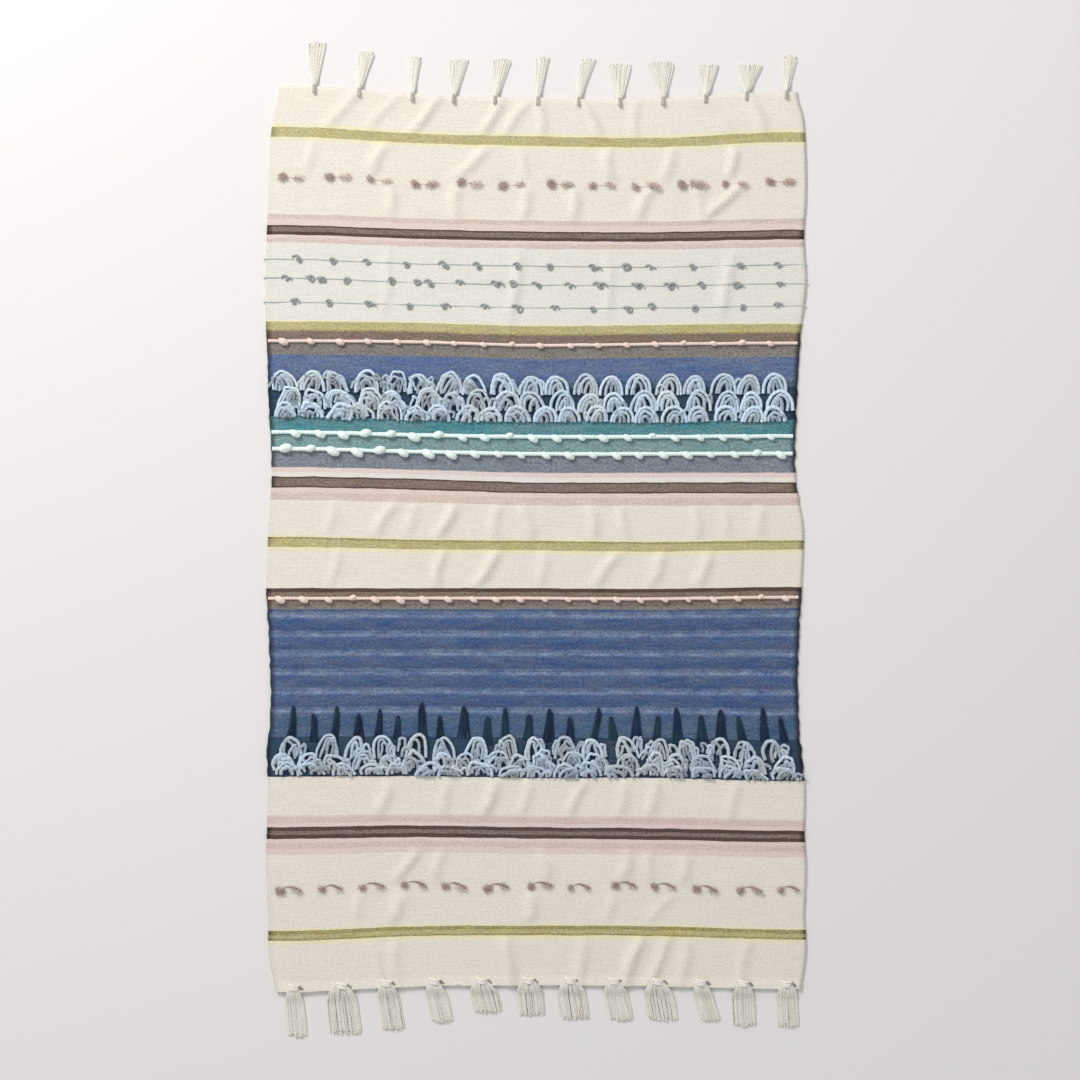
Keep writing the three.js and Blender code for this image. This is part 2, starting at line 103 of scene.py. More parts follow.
# How far a weft bows towards the top end, at five places across the cloth
BOW_ACROSS = (-440, -210, 0, 210, 440)
BOWS = (
    (-762, (-9, 1, 3, 1, -3)), (-663, (-6, 2, 3, 2, -4)), (-496, (1, 4, 1, -1, -5)),
    (-402, (2, 3, 0, 0, -5)), (-87, (0, 0, 0, -1, 2)), (-3, (6, 1, -1, -3, 0)), (94, (7, 3, -3, -3, -3)),
    (180, (6, 1, -2, -2, -1)), (364, (4, 2, -4, -2, 0)), (440, (9, 1, -3, -5, -1)),
    (524, (8, 1, -3, -4, 0)), (686, (12, 1, -4, -6, 3)), (762, (17, 1, -5, -6, 6)),
)

# Folds by band: where the band begins and ends, then each fold's place at either line and its height
FOLDS = (
    (762, 695, ((-323, -366, 4), (-244, -301, 3), (-172, -224, 6), (-66, -96, 6), (-14, -62, 4), (4, 3, 4),
                (72, 112, 6), (175, 164, 3), (292, 337, 4), (370, 396, 5))),
    (676, 622, ((-391, -396, 3), (-265, -288, 5), (-83, -142, 5), (-34, -20, 3), (118, 124, 5),
                (236, 214, 4), (337, 333, 6))),
    (612, 552, ((-258, -246, 4), (-141, -139, 4), (-15, -26, 4), (58, 67, 5), (195, 172, 5), (274, 280, 3),
                (350, 290, 7))),
    (495, 382, ((-32, -39, 4), (337, 318, 4), (-250, -262, 3), (120, 128, 3))),
    (64, 7, ((-354, -356, 3), (-245, -279, 5), (-204, -228, 3), (-142, -165, 7), (-66, -74, 4),
             (-22, -10, 5), (92, 104, 5), (148, 155, 4), (280, 275, 4), (325, 332, 3), (394, 384, 4))),
    (-14, -78, ((-339, -350, 3), (-159, -170, 6), (-60, -102, 7), (12, 14, 4), (144, 104, 5), (224, 198, 5),
                (297, 286, 5))),
    (-410, -470, ((-255, -268, 5), (-152, -162, 4), (-66, -93, 7), (-15, -24, 4), (82, 56, 6), (157, 138, 4),
                  (200, 198, 5), (344, 332, 4))),
    (-528, -583, ((-203, -238, 6), (-159, -176, 4), (12, 15, 5), (156, 149, 5), (192, 195, 4),
                  (264, 246, 4))),
    (-602, -654, ((-235, -247, 5), (-305, -312, 3), (-5, -16, 5), (131, 121, 3), (240, 190, 3))),
    (-678, -762, ((-288, -270, 4), (-244, -250, 4), (-53, -50, 7), (75, 72, 5), (178, 149, 8), (229, 188, 6),
                  (255, 251, 4), (359, 353, 4))),
)

# The rug's stripes from the top end down: where each begins, and its yarn among the cloth's colours
STRIPES = (
    (762.0, "cream"), (701.0, "butter"), (697.0, "olive"), (681.0, "moss"), (679.5, "butter"),
    (675.0, "cream"), (550.5, "rose"), (542.5, "blush"), (534.0, "peat"), (530.0, "brown"), (522.0, "peat"),
    (517.8, "blush"), (511.5, "rose"), (502.5, "chalk"), (375.5, "butter"), (371.5, "olive"), (359.0, "moss"),
    (355.0, "brown"), (341.0, "slate"), (315.0, "denim"), (275.0, "dusk"), (264.0, "deep"), (209.0, "teal"),
    (178.0, "sea"), (152.0, "steel"), (121.4, "blush"), (112.5, "chalk"), (103.4, "peat"),
    (101.4, "brown"), (87.5, "peat"), (85.6, "blush"),
    (76.5, "rose"), (66.5, "cream"), (7.0, "butter"), (3.5, "moss"), (-1.0, "olive"), (-13.2, "butter"),
    (-20.5, "cream"), (-80.5, "peat"), (-87.0, "brown"), (-109.0, "slate"), (-116.0, "blue"),
    (-296.0, "dusk"), (-333.0, "deep"), (-404.5, "cream"), (-468.5, "blush"), (-473.0, "rose"),
    (-482.0, "blush"),
    (-487.4, "peat"), (-493.6, "brown"), (-500.0, "peat"), (-507.8, "blush"), (-516.2, "rose"),
    (-525.1, "blush"), (-533.5, "cream"), (-654.5, "butter"), (-659.5, "moss"), (-664.0, "olive"),
    (-670.5, "moss"), (-675.0, "butter"), (-682.0, "cream"),
)
STRIPES_SPLIT = 76.5

# Thick soft wefts stand up as ribs in the wide blue band.
RIBS_FIRST = -126.0
RIBS_LAST = -290.0
RIBS_COUNT = 6
RIB_PITCH = (RIBS_FIRST - RIBS_LAST) / (RIBS_COUNT - 1)
RIB_HALF_WIDTH = 4.2

# Rows of pale loops: node, line of the feet, loops, first and last place, reach, tuck below the line, yarns
# nested in a loop, how full the loops are, how jumbled they are at the left and at the right, and seed
LOOP_ROWS = (
    ("pale_loops_upper_1", 260, 19, -434, 426, 27, 8, 3, 1.0, 1.9, 0.6, 0),
    ("pale_loops_upper_2", 231, 19, -428, 432, 28, 7, 3, 1.0, 2.0, 0.8, 1),
    ("pale_loops_upper_3", 208, 20, -434, 428, 25, 2, 3, 1.0, 2.0, 0.8, 2),
    ("pale_loops_lower_1", -364, 17, -416, 420, 31, 9, 2, 0.8, 1.2, 1.7, 3),
    ("pale_loops_lower_2", -386, 20, -432, 428, 25, 7, 2, 0.95, 1.7, 1.9, 4),
    ("pale_loops_lower_3", -402, 19, -426, 430, 22, 0, 2, 0.95, 1.7, 1.9, 5),
)

# The navy loops: line of the feet, loops, first and last place, tall reach, short reach, seed
NAVY_ROW = ("navy_loops", -325, 24, -421, 437, 41, 26, 11)

# Laid-in yarns with knots: node, line, knots, first and last place, drift, how far the knots hang, seed
WHITE_CORDS = (
    ("white_knot_cord_1", 180, 21, -417, 417, 2, 1.0, 21),
    ("white_knot_cord_2", 151, 22, -435, 437, 2, 1.0, 22),
)
PEACH_CORDS = (
    ("peach_knot_cord_1", 338, 18, -434, 410, 2, 0.45, 20),
    ("peach_knot_cord_2", -98, 22, -439, 434, 2, 0.9, 23),
)
# Thin yarns with curls: node, line, seed, and the place of each curl
CURL_YARNS = (
    ("grey_curl_yarn_1", 473, 30, (-407, -347, -289, -221, -156, -99, -32, 24, 101, 156, 196, 269, 350, 415)),
    ("grey_curl_yarn_2", 441, 31, (-426, -386, -366, -323, -246, -202, -181, -130, -67, -39, 2, 58, 109, 173,
                                   229, 284, 345, 417)),
    ("grey_curl_yarn_3", 402, 32, (-412, -352, -283, -215, -154, -86, -29, 34, 100, 160, 201, 275, 357, 417)),
)
# Yarns with pairs of tufts: node, line, pairs, first and last place, drift, half length of a pair's second
# tuft and how full it is, rise of the yarn between the two, share of pink, seed
TUFT_YARNS = (
    ("brown_tuft_yarn_1", 612, 12, -423, 414, 4, 9.5, 0.72, 1.0, 0.3, 40),
    ("brown_tuft_yarn_2", -593, 13, -426, 433, 3, 8.0, 0.44, 7.0, 0.1, 41),
)

# Tassels: place across, reach past the cloth's end, lean of the tip to the right, spread of the tips
TOP_TASSELS = (
    (-400, 76, 5, 29), (-320, 66, 15, 24), (-225, 66, 6, 18), (-151, 64, 10, 32), (-77, 67, 13, 29),
    (-1, 72, 10, 21), (72, 70, 18, 24), (145, 62, 0, 38), (222, 64, -2, 44), (298, 55, 6, 36),
    (371, 50, 8, 41), (442, 63, 8, 22),
)
BOTTOM_TASSELS = (
    (-432, 77, 7, 27), (-347, 77, 9, 49), (-268, 73, 12, 34), (-184, 63, 15, 32), (-100, 48, 12, 43),
    (-18, 53, 5, 46), (56, 59, 9, 48), (133, 61, 14, 37), (210, 60, 11, 46), (286, 59, 17, 31),
    (361, 66, 3, 37), (437, 66, 3, 34),
)

# The photo is square and looks straight down. Its frame is this wide on the floor, and its middle is here.
FRAME_WIDTH = 1.847
FRAME_MIDDLE = (6.8, 1.7)
CAMERA_HEIGHT = 4.2
SENSOR_WIDTH = 36.0

# The soft light, in metres: where it stands, where it points and how wide it is
KEY_PLACE = (-2.15, 3.0, 3.0)
KEY_AIM = (0.1, 0.15, 0.0)
KEY_SIZE = 1.65


def linear(hex_colour):
    """An sRGB hex value as linear red, green and blue."""
    parts = [int(hex_colour[i:i + 2], 16) / 255 for i in (1, 3, 5)]
    return tuple(c / 12.92 if c <= 0.04045 else ((c + 0.055) / 1.055) ** 2.4 for c in parts)


def size(name, description, default):
    """A length in metres that a user may change."""
    return FloatProperty(
        name=name, description=description, default=default, min=0.0, unit="LENGTH", precision=4)


def colour(name, description, hex_colour):
    """A colour that a user may change."""
    return FloatVectorProperty(
        name=name, description=description, default=linear(hex_colour), min=0.0, max=1.0, subtype="COLOR")


class RugClothSettings(bpy.types.PropertyGroup):
    """Sizes and colours of the woven cloth."""

    thickness: size("Thickness", "Thickness of the flat weave", CLOTH_THICK * MM)
    weft_pitch: size("Weft pitch", "Distance from one weft to the next", 0.0032)
    warp_pitch: size("Warp pitch", "Distance from one warp to the next", 0.0048)
    rib_height: size("Rib height", "How far the soft wefts stand up in the blue band", 0.0016)
    row_step: size("Row step", "Distance between the mesh's rows", 0.0064)
    column_step: size("Column step", "Distance between the mesh's columns", 0.0060)
    cream: colour("Cream", "Undyed ground", "#EBE5DA")
    chalk: colour("Chalk", "Cooler ground below the curled yarns", "#E6E4DC")
    butter: colour("Butter", "Pale line beside each olive stripe", "#EEE7C4")
    olive: colour("Olive", "Middle of the olive stripes", "#BCB582")
    moss: colour("Moss", "Edges of the olive stripes", "#A49C68")
    rose: colour("Rose", "Darker pink lines", "#D9C6BE")
    blush: colour("Blush", "Pale pink lines", "#E4D2CC")
    brown: colour("Brown", "Middle of the brown stripes", "#84736A")
    peat: colour("Peat", "Edges of the brown stripes", "#594640")
    slate: colour("Slate", "Grey-brown stripes", "#858079")
    denim: colour("Denim", "Narrow blue band", "#5E7098")
    blue: colour("Blue", "Wide blue band", "#4A5F88")
    dusk: colour("Dusk", "Blue ground behind the navy loops", "#4C6484")
    deep: colour("Deep blue", "Ground below the loops", "#31465E")
    teal: colour("Teal", "Teal bands", "#578C95")
    sea: colour("Sea", "Grey-teal wefts between the white cords", "#7E9C9D")
    steel: colour("Steel", "Grey-blue band", "#7F8892")
    rib: colour("Rib", "Light ribs in the wide blue band", "#8395B4")


class RugYarnSettings(bpy.types.PropertyGroup):
    """Sizes and colours of the yarns that lie on the cloth."""

    loop_yarn: size("Loop yarn", "Thickness of one yarn in a loop", 0.0068)
    loop_lift: size("Loop lift", "How high a loop's crown stands above its feet", 0.0045)
    navy_yarn: size("Navy yarn", "Thickness of one yarn in a navy loop", 0.0034)
    navy_yarns: IntProperty(
        name="Yarns in a navy loop", description="How many yarns make a navy loop", default=4, min=2)
    cord: size("Cord", "Thickness of the white cord between its knots", 0.0068)
    peach_cord: size("Peach cord", "Thickness of the peach cord between its knots", 0.0054)
    curl_yarn: size("Curl yarn", "Thickness of the grey yarn", 0.0023)
    tuft_fibre: size("Tuft fibre", "Length of a fibre in a tuft", 0.0065)
    pale: colour("Pale loops", "Pale grey-blue loops", "#C3D3E4")
    pale_warm: colour("Warm loops", "Warmer wool among the pale loops", "#C6D3DA")
    navy: colour("Navy loops", "Navy loops", "#1B2F4F")
    navy_green: colour("Green loops", "Greener wool among the navy loops", "#1F4250")
    white: colour("White cord", "Ice-white knotted cords", "#F0FFFC")
    peach: colour("Peach cord", "Peach knotted cords", "#F7E0D6")
    grey: colour("Curl yarn", "Grey-blue yarn with curls", "#A9AFAF")
    tuft: colour("Tufts", "Brown wool of the tufts", "#C6A9A1")
    tuft_pink: colour("Pink tufts", "Pink wool of the tufts", "#EAD9D2")


class RugTasselSettings(bpy.types.PropertyGroup):
    """Sizes and colour of the tassels."""

    yarns: IntProperty(name="Yarns", description="Yarns in one tassel", default=56, min=8)
    yarn: size("Yarn", "Thickness of one tassel yarn", 0.0026)
    inward: size("Hitch", "How far in from the end the tassel goes through the cloth", 0.011)
    undyed: colour("Undyed", "Undyed tassel yarn", "#F2EEE5")


class RugStageSettings(bpy.types.PropertyGroup):
    """The floor and the light."""

    floor_size: size("Floor", "Side of the square floor", 9.0)
    floor: colour("Floor", "Pale floor", "#ECEAEA")
    key_power: FloatProperty(
        name="Key light", description="Power of the soft light", default=138.0, min=0.0, unit="POWER")
    sky: FloatProperty(name="Sky", description="Strength of the light all around", default=0.565, min=0.0)


def smooth_through(stops, values, t):
    """A smooth curve through values at rising stops, level at both ends."""
    last = len(stops) - 1
    if t <= stops[0]:
        return values[0]
    if t >= stops[last]:
        return values[last]
    i = 0
    while t > stops[i + 1]:
        i += 1

    def slope(k):
        if k <= 0 or k >= last:
            return 0.0
        return (values[k + 1] - values[k - 1]) / (stops[k + 1] - stops[k - 1])

    span = stops[i + 1] - stops[i]
    s = (t - stops[i]) / span
    ease = s * s * (3 - 2 * s)
    leave = s * (1 - s) * (1 - s) * span * slope(i)
    arrive = s * s * (s - 1) * span * slope(i + 1)
    return values[i] + (values[i + 1] - values[i]) * ease + leave + arrive


def weft_line(along):
    """One weft's left and right ends and its bow, from which any point of it is placed."""
    stops = [row[0] for row in SELVEDGES]
    left = -HALF_WIDTH + smooth_through(stops, [row[1] for row in SELVEDGES], along)
    right = HALF_WIDTH - smooth_through(stops, [row[2] for row in SELVEDGES], along)
    bow_stops = [row[0] for row in BOWS]
    rises = [smooth_through(bow_stops, [row[1][k] for row in BOWS], along) for k in range(len(BOW_ACROSS))]
    return left, right, rises


def on_weft(line, across, along):
    """Where a point of one weft lies on the floor plan, in millimetres."""
    left, right, rises = line
    x = left + (right - left) * (across / CLOTH_WIDTH + 0.5)
    return x, along + smooth_through(BOW_ACROSS, rises, across)


def place(across, along):
    """Where a point of the flat cloth lies on the floor plan, in millimetres."""
    return on_weft(weft_line(along), across, along)


def frame_shift():
    """How far the cloth's own plan is moved to lie in the frame, in millimetres."""
    low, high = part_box(CLOTH_NODE)
    half_width, half_length = round(HALF_WIDTH), round(HALF_LENGTH)
    across_all = range(-half_width, half_width + 1, 2)
    ends = [place(across, side * HALF_LENGTH)[1] for side in (-1, 1) for across in across_all]
    wefts = [weft_line(along) for along in range(-half_length, half_length + 1, 2)]
    middle_y = (min(ends) + max(ends)) / 2
    middle_x = (min(weft[0] for weft in wefts) + max(weft[1] for weft in wefts)) / 2
    return (low[0] + high[0]) / 2 / MM - middle_x, (low[1] + high[1]) / 2 / MM - middle_y


SHIFT = frame_shift()


def point(across, along, z):
    """A point above the flat cloth's plan, in metres, in the frame."""
    x, y = place(across, along)
    return Vector(((x + SHIFT[0]) * MM, (y + SHIFT[1]) * MM, z * MM))


GOLDEN_ANGLE = 2.39996


def uneven(n, seed):
    """A steady, uneven value from -1 to 1 for the piece numbered n: two waves that never fall in step."""
    return math.sin(n * GOLDEN_ANGLE + seed * 1.7) * 0.6 + math.sin(n * 5.13 + seed) * 0.4


def spaced(count, first, last, drift, seed):
    """Evenly spaced places, each a little off its step: place across, size and lean from -1 to 1."""
    pitch = (last - first) / (count - 1)
    return [
        (first + pitch * i + uneven(i, seed) * drift, uneven(i, seed + 4), uneven(i, seed + 7))
        for i in range(count)
    ]


def ramp_up(low, high, value):
    """Rises smoothly from 0 at low to 1 at high."""
    s = min(max((value - low) / (high - low), 0.0), 1.0)
    return s * s * (3 - 2 * s)


def add(tree, kind, inputs=None, **settings):
    """Adds a node. Settings are the node's own. Inputs, by name or number, give a value, a socket to link, or
    a node whose first output is linked."""
    new = tree.nodes.new(kind)
    for key, value in settings.items():
        setattr(new, key, value)
    for key, value in (inputs or {}).items():
        if isinstance(value, bpy.types.Node):
            value = value.outputs[0]
        if isinstance(value, bpy.types.NodeSocket):
            tree.links.new(value, new.inputs[key])
        else:
            new.inputs[key].default_value = value
    return new


def per_metre(patch):
    """The scale of a pattern on a yarn whose patches are this large, in millimetres."""
    return 1.0 / (patch * MM)


def new_material(name):
    """An empty material and its tree."""
    material = bpy.data.materials.new(name)
    material.use_nodes = True
    material.node_tree.nodes.clear()
    return material, material.node_tree


# Hand-woven wool, weft-faced: fully matt, a soft nap that lightens at grazing angles, small picks over warps,
# and stripes whose yarn was dyed a little unevenly.
def cloth_material(props):
    material, tree = new_material("hand_woven_wool")
    uv = add(tree, "ShaderNodeUVMap", uv_map="UVMap")
    parts = add(tree, "ShaderNodeSeparateXYZ", {0: uv}).outputs
    across = add(tree, "ShaderNodeMath", {0: parts[0], 1: CLOTH_WIDTH}, operation="MULTIPLY")
    along_raw = add(tree, "ShaderNodeMath", {0: parts[1], 1: CLOTH_LENGTH}, operation="MULTIPLY")
    plan = add(tree, "ShaderNodeCombineXYZ", {0: across, 1: along_raw, 2: 0.0})

    patterns = {}
    for label, (long, wide, detail, rough) in PATTERNS.items():
        scale = (1.0 / long, 1.0 / (wide or props.weft_pitch / MM), 1.0)
        mapped = add(tree, "ShaderNodeMapping", {0: plan, 3: scale})
        patterns[label] = add(tree, "ShaderNodeTexNoise", {
            "Vector": mapped, "Scale": 1.0, "Detail": detail, "Roughness": rough})

    # Wefts wander a little, so a stripe's edge isn't a ruled line.
    wander_mm = add(tree, "ShaderNodeMath", {
        0: patterns["wander"], 1: WANDER_HEIGHT, 2: -WANDER_HEIGHT / 2}, operation="MULTIPLY_ADD")
    along = add(tree, "ShaderNodeMath", {0: along_raw, 1: wander_mm}, operation="ADD")

    # Two ramps hold the stripes, each with its own stretch of the cloth.
    stripes = []
    for top, bottom in ((HALF_LENGTH, STRIPES_SPLIT), (STRIPES_SPLIT, -HALF_LENGTH)):
        share = add(tree, "ShaderNodeMapRange", {
            0: along, 1: top + HALF_LENGTH, 2: bottom + HALF_LENGTH, 3: 0.0, 4: 1.0})
        ramp = add(tree, "ShaderNodeValToRGB", {0: share})
        rows = [row for row in STRIPES if bottom < row[0] <= top]
        ramp.color_ramp.interpolation = "CONSTANT"
        stops = ramp.color_ramp.elements
        while len(stops) < len(rows):
            stops.new(1.0)
        for stop, (_, yarn) in zip(stops, rows):
            stop.color = (*getattr(props, yarn), 1.0)
        for stop, (start, _) in zip(stops, rows):
            stop.position = (top - start) / (top - bottom)
        stripes.append(ramp)
    is_lower = add(tree, "ShaderNodeMath", {
        0: along, 1: STRIPES_SPLIT + HALF_LENGTH}, operation="LESS_THAN")
    dyed = add(tree, "ShaderNodeMix", {
        0: is_lower, 6: stripes[0], 7: stripes[1]}, data_type="RGBA").outputs[2]

    # Light, mottled ribs in the blue band
    first_rib = RIBS_FIRST + HALF_LENGTH
    from_first = add(tree, "ShaderNodeMath", {0: along, 1: first_rib}, operation="SUBTRACT")
    folded = add(tree, "ShaderNodeMath", {0: from_first, 1: RIB_PITCH}, operation="FLOORED_MODULO")
    off_rib = add(tree, "ShaderNodeMath", {0: folded, 1: RIB_PITCH / 2}, operation="SUBTRACT")
    apart = add(tree, "ShaderNodeMath", {0: off_rib}, operation="ABSOLUTE")
    rib_mask = add(tree, "ShaderNodeMapRange", {
        0: apart, 1: RIB_PITCH / 2 - RIB_TONE[0], 2: RIB_PITCH / 2 - RIB_TONE[1], 3: 0.0, 4: 1.0},
        interpolation_type="SMOOTHSTEP")
    last_rib = RIBS_LAST + HALF_LENGTH
    band_low = add(tree, "ShaderNodeMath", {0: along, 1: last_rib - 12}, operation="GREATER_THAN")
    band_high = add(tree, "ShaderNodeMath", {0: along, 1: first_rib + 8}, operation="LESS_THAN")
    in_band = add(tree, "ShaderNodeMath", {0: band_low, 1: band_high}, operation="MULTIPLY")
    patch_share = add(tree, "ShaderNodeMapRange", {0: patterns["rib"], 1: 0.35, 2: 0.65, 3: 0.2, 4: 0.8})
    rib_part = add(tree, "ShaderNodeMath", {0: rib_mask, 1: patch_share}, operation="MULTIPLY")
    rib_share = add(tree, "ShaderNodeMath", {0: rib_part, 1: in_band}, operation="MULTIPLY")
    ribbed = add(tree, "ShaderNodeMix", {
        0: rib_share, 6: dyed, 7: (*props.rib, 1.0)}, data_type="RGBA").outputs[2]

    # Below each rib the blue starts light, and it darkens down to the next rib.
    slope = add(tree, "ShaderNodeMapRange", {0: folded, 1: 3.0, 2: RIB_PITCH - 3.0, 3: 0.8, 4: 1.14})
    banded = add(tree, "ShaderNodeMix", {0: in_band, 2: 1.0, 3: slope})

    # The dye drifts in hue, depth and lightness along each weft.
    tones = add(tree, "ShaderNodeSeparateColor", {0: patterns["dye"].outputs[1]}).outputs
    hue, depth, lightness = [
        add(tree, "ShaderNodeMapRange", {0: tone, 1: 0.3, 2: 0.7, 3: low, 4: high})
        for tone, (low, high) in zip(tones, DYE_DRIFT)]
    ground = add(tree, "ShaderNodeRGBToBW", {0: ribbed})
    is_pale = add(tree, "ShaderNodeMapRange", {0: ground, 1: 0.32, 2: 0.66, 3: 0.0, 4: 0.78})
    drifted = add(tree, "ShaderNodeHueSaturation", {
        "Color": ribbed, "Hue": hue, "Saturation": depth, "Value": lightness})

    # Single picks are lighter or darker, and the nap is speckled.
    pick_tone = add(tree, "ShaderNodeMapRange", {0: patterns["pick"], 1: 0.25, 2: 0.75, 3: 0.88, 4: 1.1})
    nap_tone = add(tree, "ShaderNodeMapRange", {0: patterns["nap"], 1: 0.36, 2: 0.64, 3: 0.76, 4: 1.26})

    # In the dyed bands the edge is darker: partly the wefts turning round the outer warp, partly painted
    # shade.
    from_middle = add(tree, "ShaderNodeMath", {0: parts[0], 1: 0.5}, operation="SUBTRACT")
    to_side = add(tree, "ShaderNodeMath", {0: from_middle}, operation="ABSOLUTE")
    edge = add(tree, "ShaderNodeMapRange", {
        0: to_side, 1: 0.5 - EDGE_DARK_AND_SHADE[0] / CLOTH_WIDTH, 2: 0.5 - EDGE_DARK_AND_SHADE[1] / CLOTH_WIDTH, 3: 0.0, 4: 1.0})
    edge_dark_and_shade_depth = add(tree, "ShaderNodeMapRange", {0: ground, 1: 0.3, 2: 0.6, 3: 0.72, 4: 0.05})
    edge_dark_and_shade_share = add(tree, "ShaderNodeMath", {0: edge, 1: edge_dark_and_shade_depth}, operation="MULTIPLY")
    edge_dark_and_shade_tone = add(tree, "ShaderNodeMath", {0: 1.0, 1: edge_dark_and_shade_share}, operation="SUBTRACT")

    # The undyed yarn is evener than the dyed yarns.
    tone_a = add(tree, "ShaderNodeMath", {0: pick_tone, 1: nap_tone}, operation="MULTIPLY")
    tone_b = add(tree, "ShaderNodeMix", {0: is_pale, 2: tone_a, 3: 1.0})
    tone_c = add(tree, "ShaderNodeMath", {0: tone_b, 1: banded}, operation="MULTIPLY")
    tone = add(tree, "ShaderNodeMath", {0: tone_c, 1: edge_dark_and_shade_tone}, operation="MULTIPLY")
    calm = add(tree, "ShaderNodeMix", {0: is_pale, 6: drifted, 7: ribbed}, data_type="RGBA").outputs[2]
    toned = add(tree, "ShaderNodeVectorMath", {0: calm, "Scale": tone}, operation="SCALE")

    # Plain weave: each pick bulges between warps, and every other pick is a step along.
    row = add(tree, "ShaderNodeMath", {0: along, 1: props.weft_pitch / MM}, operation="DIVIDE")
    column = add(tree, "ShaderNodeMath", {0: across, 1: props.warp_pitch / MM}, operation="DIVIDE")
    row_number = add(tree, "ShaderNodeMath", {0: row}, operation="FLOOR")
    step = add(tree, "ShaderNodeMath", {0: row_number, 1: 0.5, 2: column}, operation="MULTIPLY_ADD")
    bulges = []
    for number in (step, row):
        turn = add(tree, "ShaderNodeMath", {0: number, 1: math.pi}, operation="MULTIPLY")
        wave = add(tree, "ShaderNodeMath", {0: turn}, operation="SINE")
        bulges.append(add(tree, "ShaderNodeMath", {0: wave}, operation="ABSOLUTE"))
    bulge = add(tree, "ShaderNodeMath", {0: bulges[0], 1: bulges[1]}, operation="MULTIPLY")
    relief = add(tree, "ShaderNodeMath", {0: patterns["fuzz"], 1: 0.9, 2: bulge}, operation="MULTIPLY_ADD")
    bump = add(tree, "ShaderNodeBump", {"Strength": 0.6, "Distance": 0.5 * MM, "Height": relief})

    shader = add(tree, "ShaderNodeBsdfPrincipled", {
        "Base Color": toned, "Roughness": 0.95, "Specular IOR Level": 0.15,
        "Sheen Weight": 0.12, "Sheen Roughness": 0.6, "Normal": bump})
    add(tree, "ShaderNodeOutputMaterial", {0: shader})
    return material


# Plied wool yarn: two plies turn round each other, with painted shade in the grooves, and stray fibres soften
# it.
def yarn_material(name, tint, groove_shade_share=0.35, ply_pitch=4.5, second=None):
    material, tree = new_material(name)
    uv = add(tree, "ShaderNodeUVMap", uv_map="UVMap")
    parts = add(tree, "ShaderNodeSeparateXYZ", {0: uv}).outputs
    turns = add(tree, "ShaderNodeMath", {0: parts[0], 1: per_metre(ply_pitch)}, operation="MULTIPLY")
    round_it = add(tree, "ShaderNodeMath", {0: parts[1], 1: 1.0, 2: turns}, operation="MULTIPLY_ADD")
    angle = add(tree, "ShaderNodeMath", {0: round_it, 1: 2 * math.pi}, operation="MULTIPLY")
    wave = add(tree, "ShaderNodeMath", {0: angle}, operation="SINE")
    ply = add(tree, "ShaderNodeMapRange", {0: wave, 1: -1.0, 2: 1.0, 3: 0.0, 4: 1.0})
    # The shade attribute is each yarn's own tone, and for some yarns painted light or shade as well.
    tone = add(tree, "ShaderNodeAttribute", attribute_name="shade").outputs[2]
    coords = add(tree, "ShaderNodeTexCoord").outputs[3]
    fluff = add(tree, "ShaderNodeTexNoise", {"Vector": coords, "Scale": per_metre(YARN_FLUFF), "Detail": 3.0})
    # Painted shade in the grooves between the plies
    ply_groove_shade = add(tree, "ShaderNodeMapRange", {0: ply, 1: 0.0, 2: 0.5, 3: 1.0 - groove_shade_share, 4: 1.0})
    fluff_tone = add(tree, "ShaderNodeMapRange", {0: fluff, 1: 0.3, 2: 0.7, 3: 0.9, 4: 1.07})
    tone_a = add(tree, "ShaderNodeMath", {0: ply_groove_shade, 1: fluff_tone}, operation="MULTIPLY")
    tone_b = add(tree, "ShaderNodeMath", {0: tone_a, 1: tone}, operation="MULTIPLY")
    dyed_map = add(tree, "ShaderNodeTexNoise", {
        "Vector": coords, "Scale": per_metre(YARN_DYE), "Detail": 1.0})
    dyed_share = add(tree, "ShaderNodeMapRange", {0: dyed_map, 1: 0.45, 2: 0.62, 3: 0.0, 4: 1.0})
    dyed = add(tree, "ShaderNodeMix", {
        0: dyed_share, 6: (*tint, 1.0), 7: (*(second or tint), 1.0)}, data_type="RGBA").outputs[2]
    toned = add(tree, "ShaderNodeVectorMath", {0: dyed, "Scale": tone_b}, operation="SCALE")
    relief = add(tree, "ShaderNodeMath", {0: fluff, 1: 0.6, 2: ply}, operation="MULTIPLY_ADD")
    bump = add(tree, "ShaderNodeBump", {"Strength": 0.6, "Distance": 0.5 * MM, "Height": relief})
    shader = add(tree, "ShaderNodeBsdfPrincipled", {
        "Base Color": toned, "Roughness": 0.9, "Specular IOR Level": 0.2,
        "Sheen Weight": 0.12, "Sheen Roughness": 0.5, "Normal": bump})
    add(tree, "ShaderNodeOutputMaterial", {0: shader})
    return material


def new_tree(name, inputs):
    """A geometry tree with its inputs, and the sockets they come in by."""
    tree = bpy.data.node_groups.new(name, "GeometryNodeTree")
    tree.interface.new_socket("Geometry", in_out="OUTPUT", socket_type="NodeSocketGeometry")
    for label, kind in inputs.items():
        tree.interface.new_socket(label, in_out="INPUT", socket_type="NodeSocket" + kind)
    return tree, add(tree, "NodeGroupInput").outputs


def close_tree(tree, last, material):
    """The end of a geometry tree: real faces, their material and the way out."""
    whole = add(tree, "GeometryNodeRealizeInstances", {0: last})
    done = add(tree, "GeometryNodeSetMaterial", {0: whole, "Material": material})
    add(tree, "NodeGroupOutput", {0: done})
    return tree


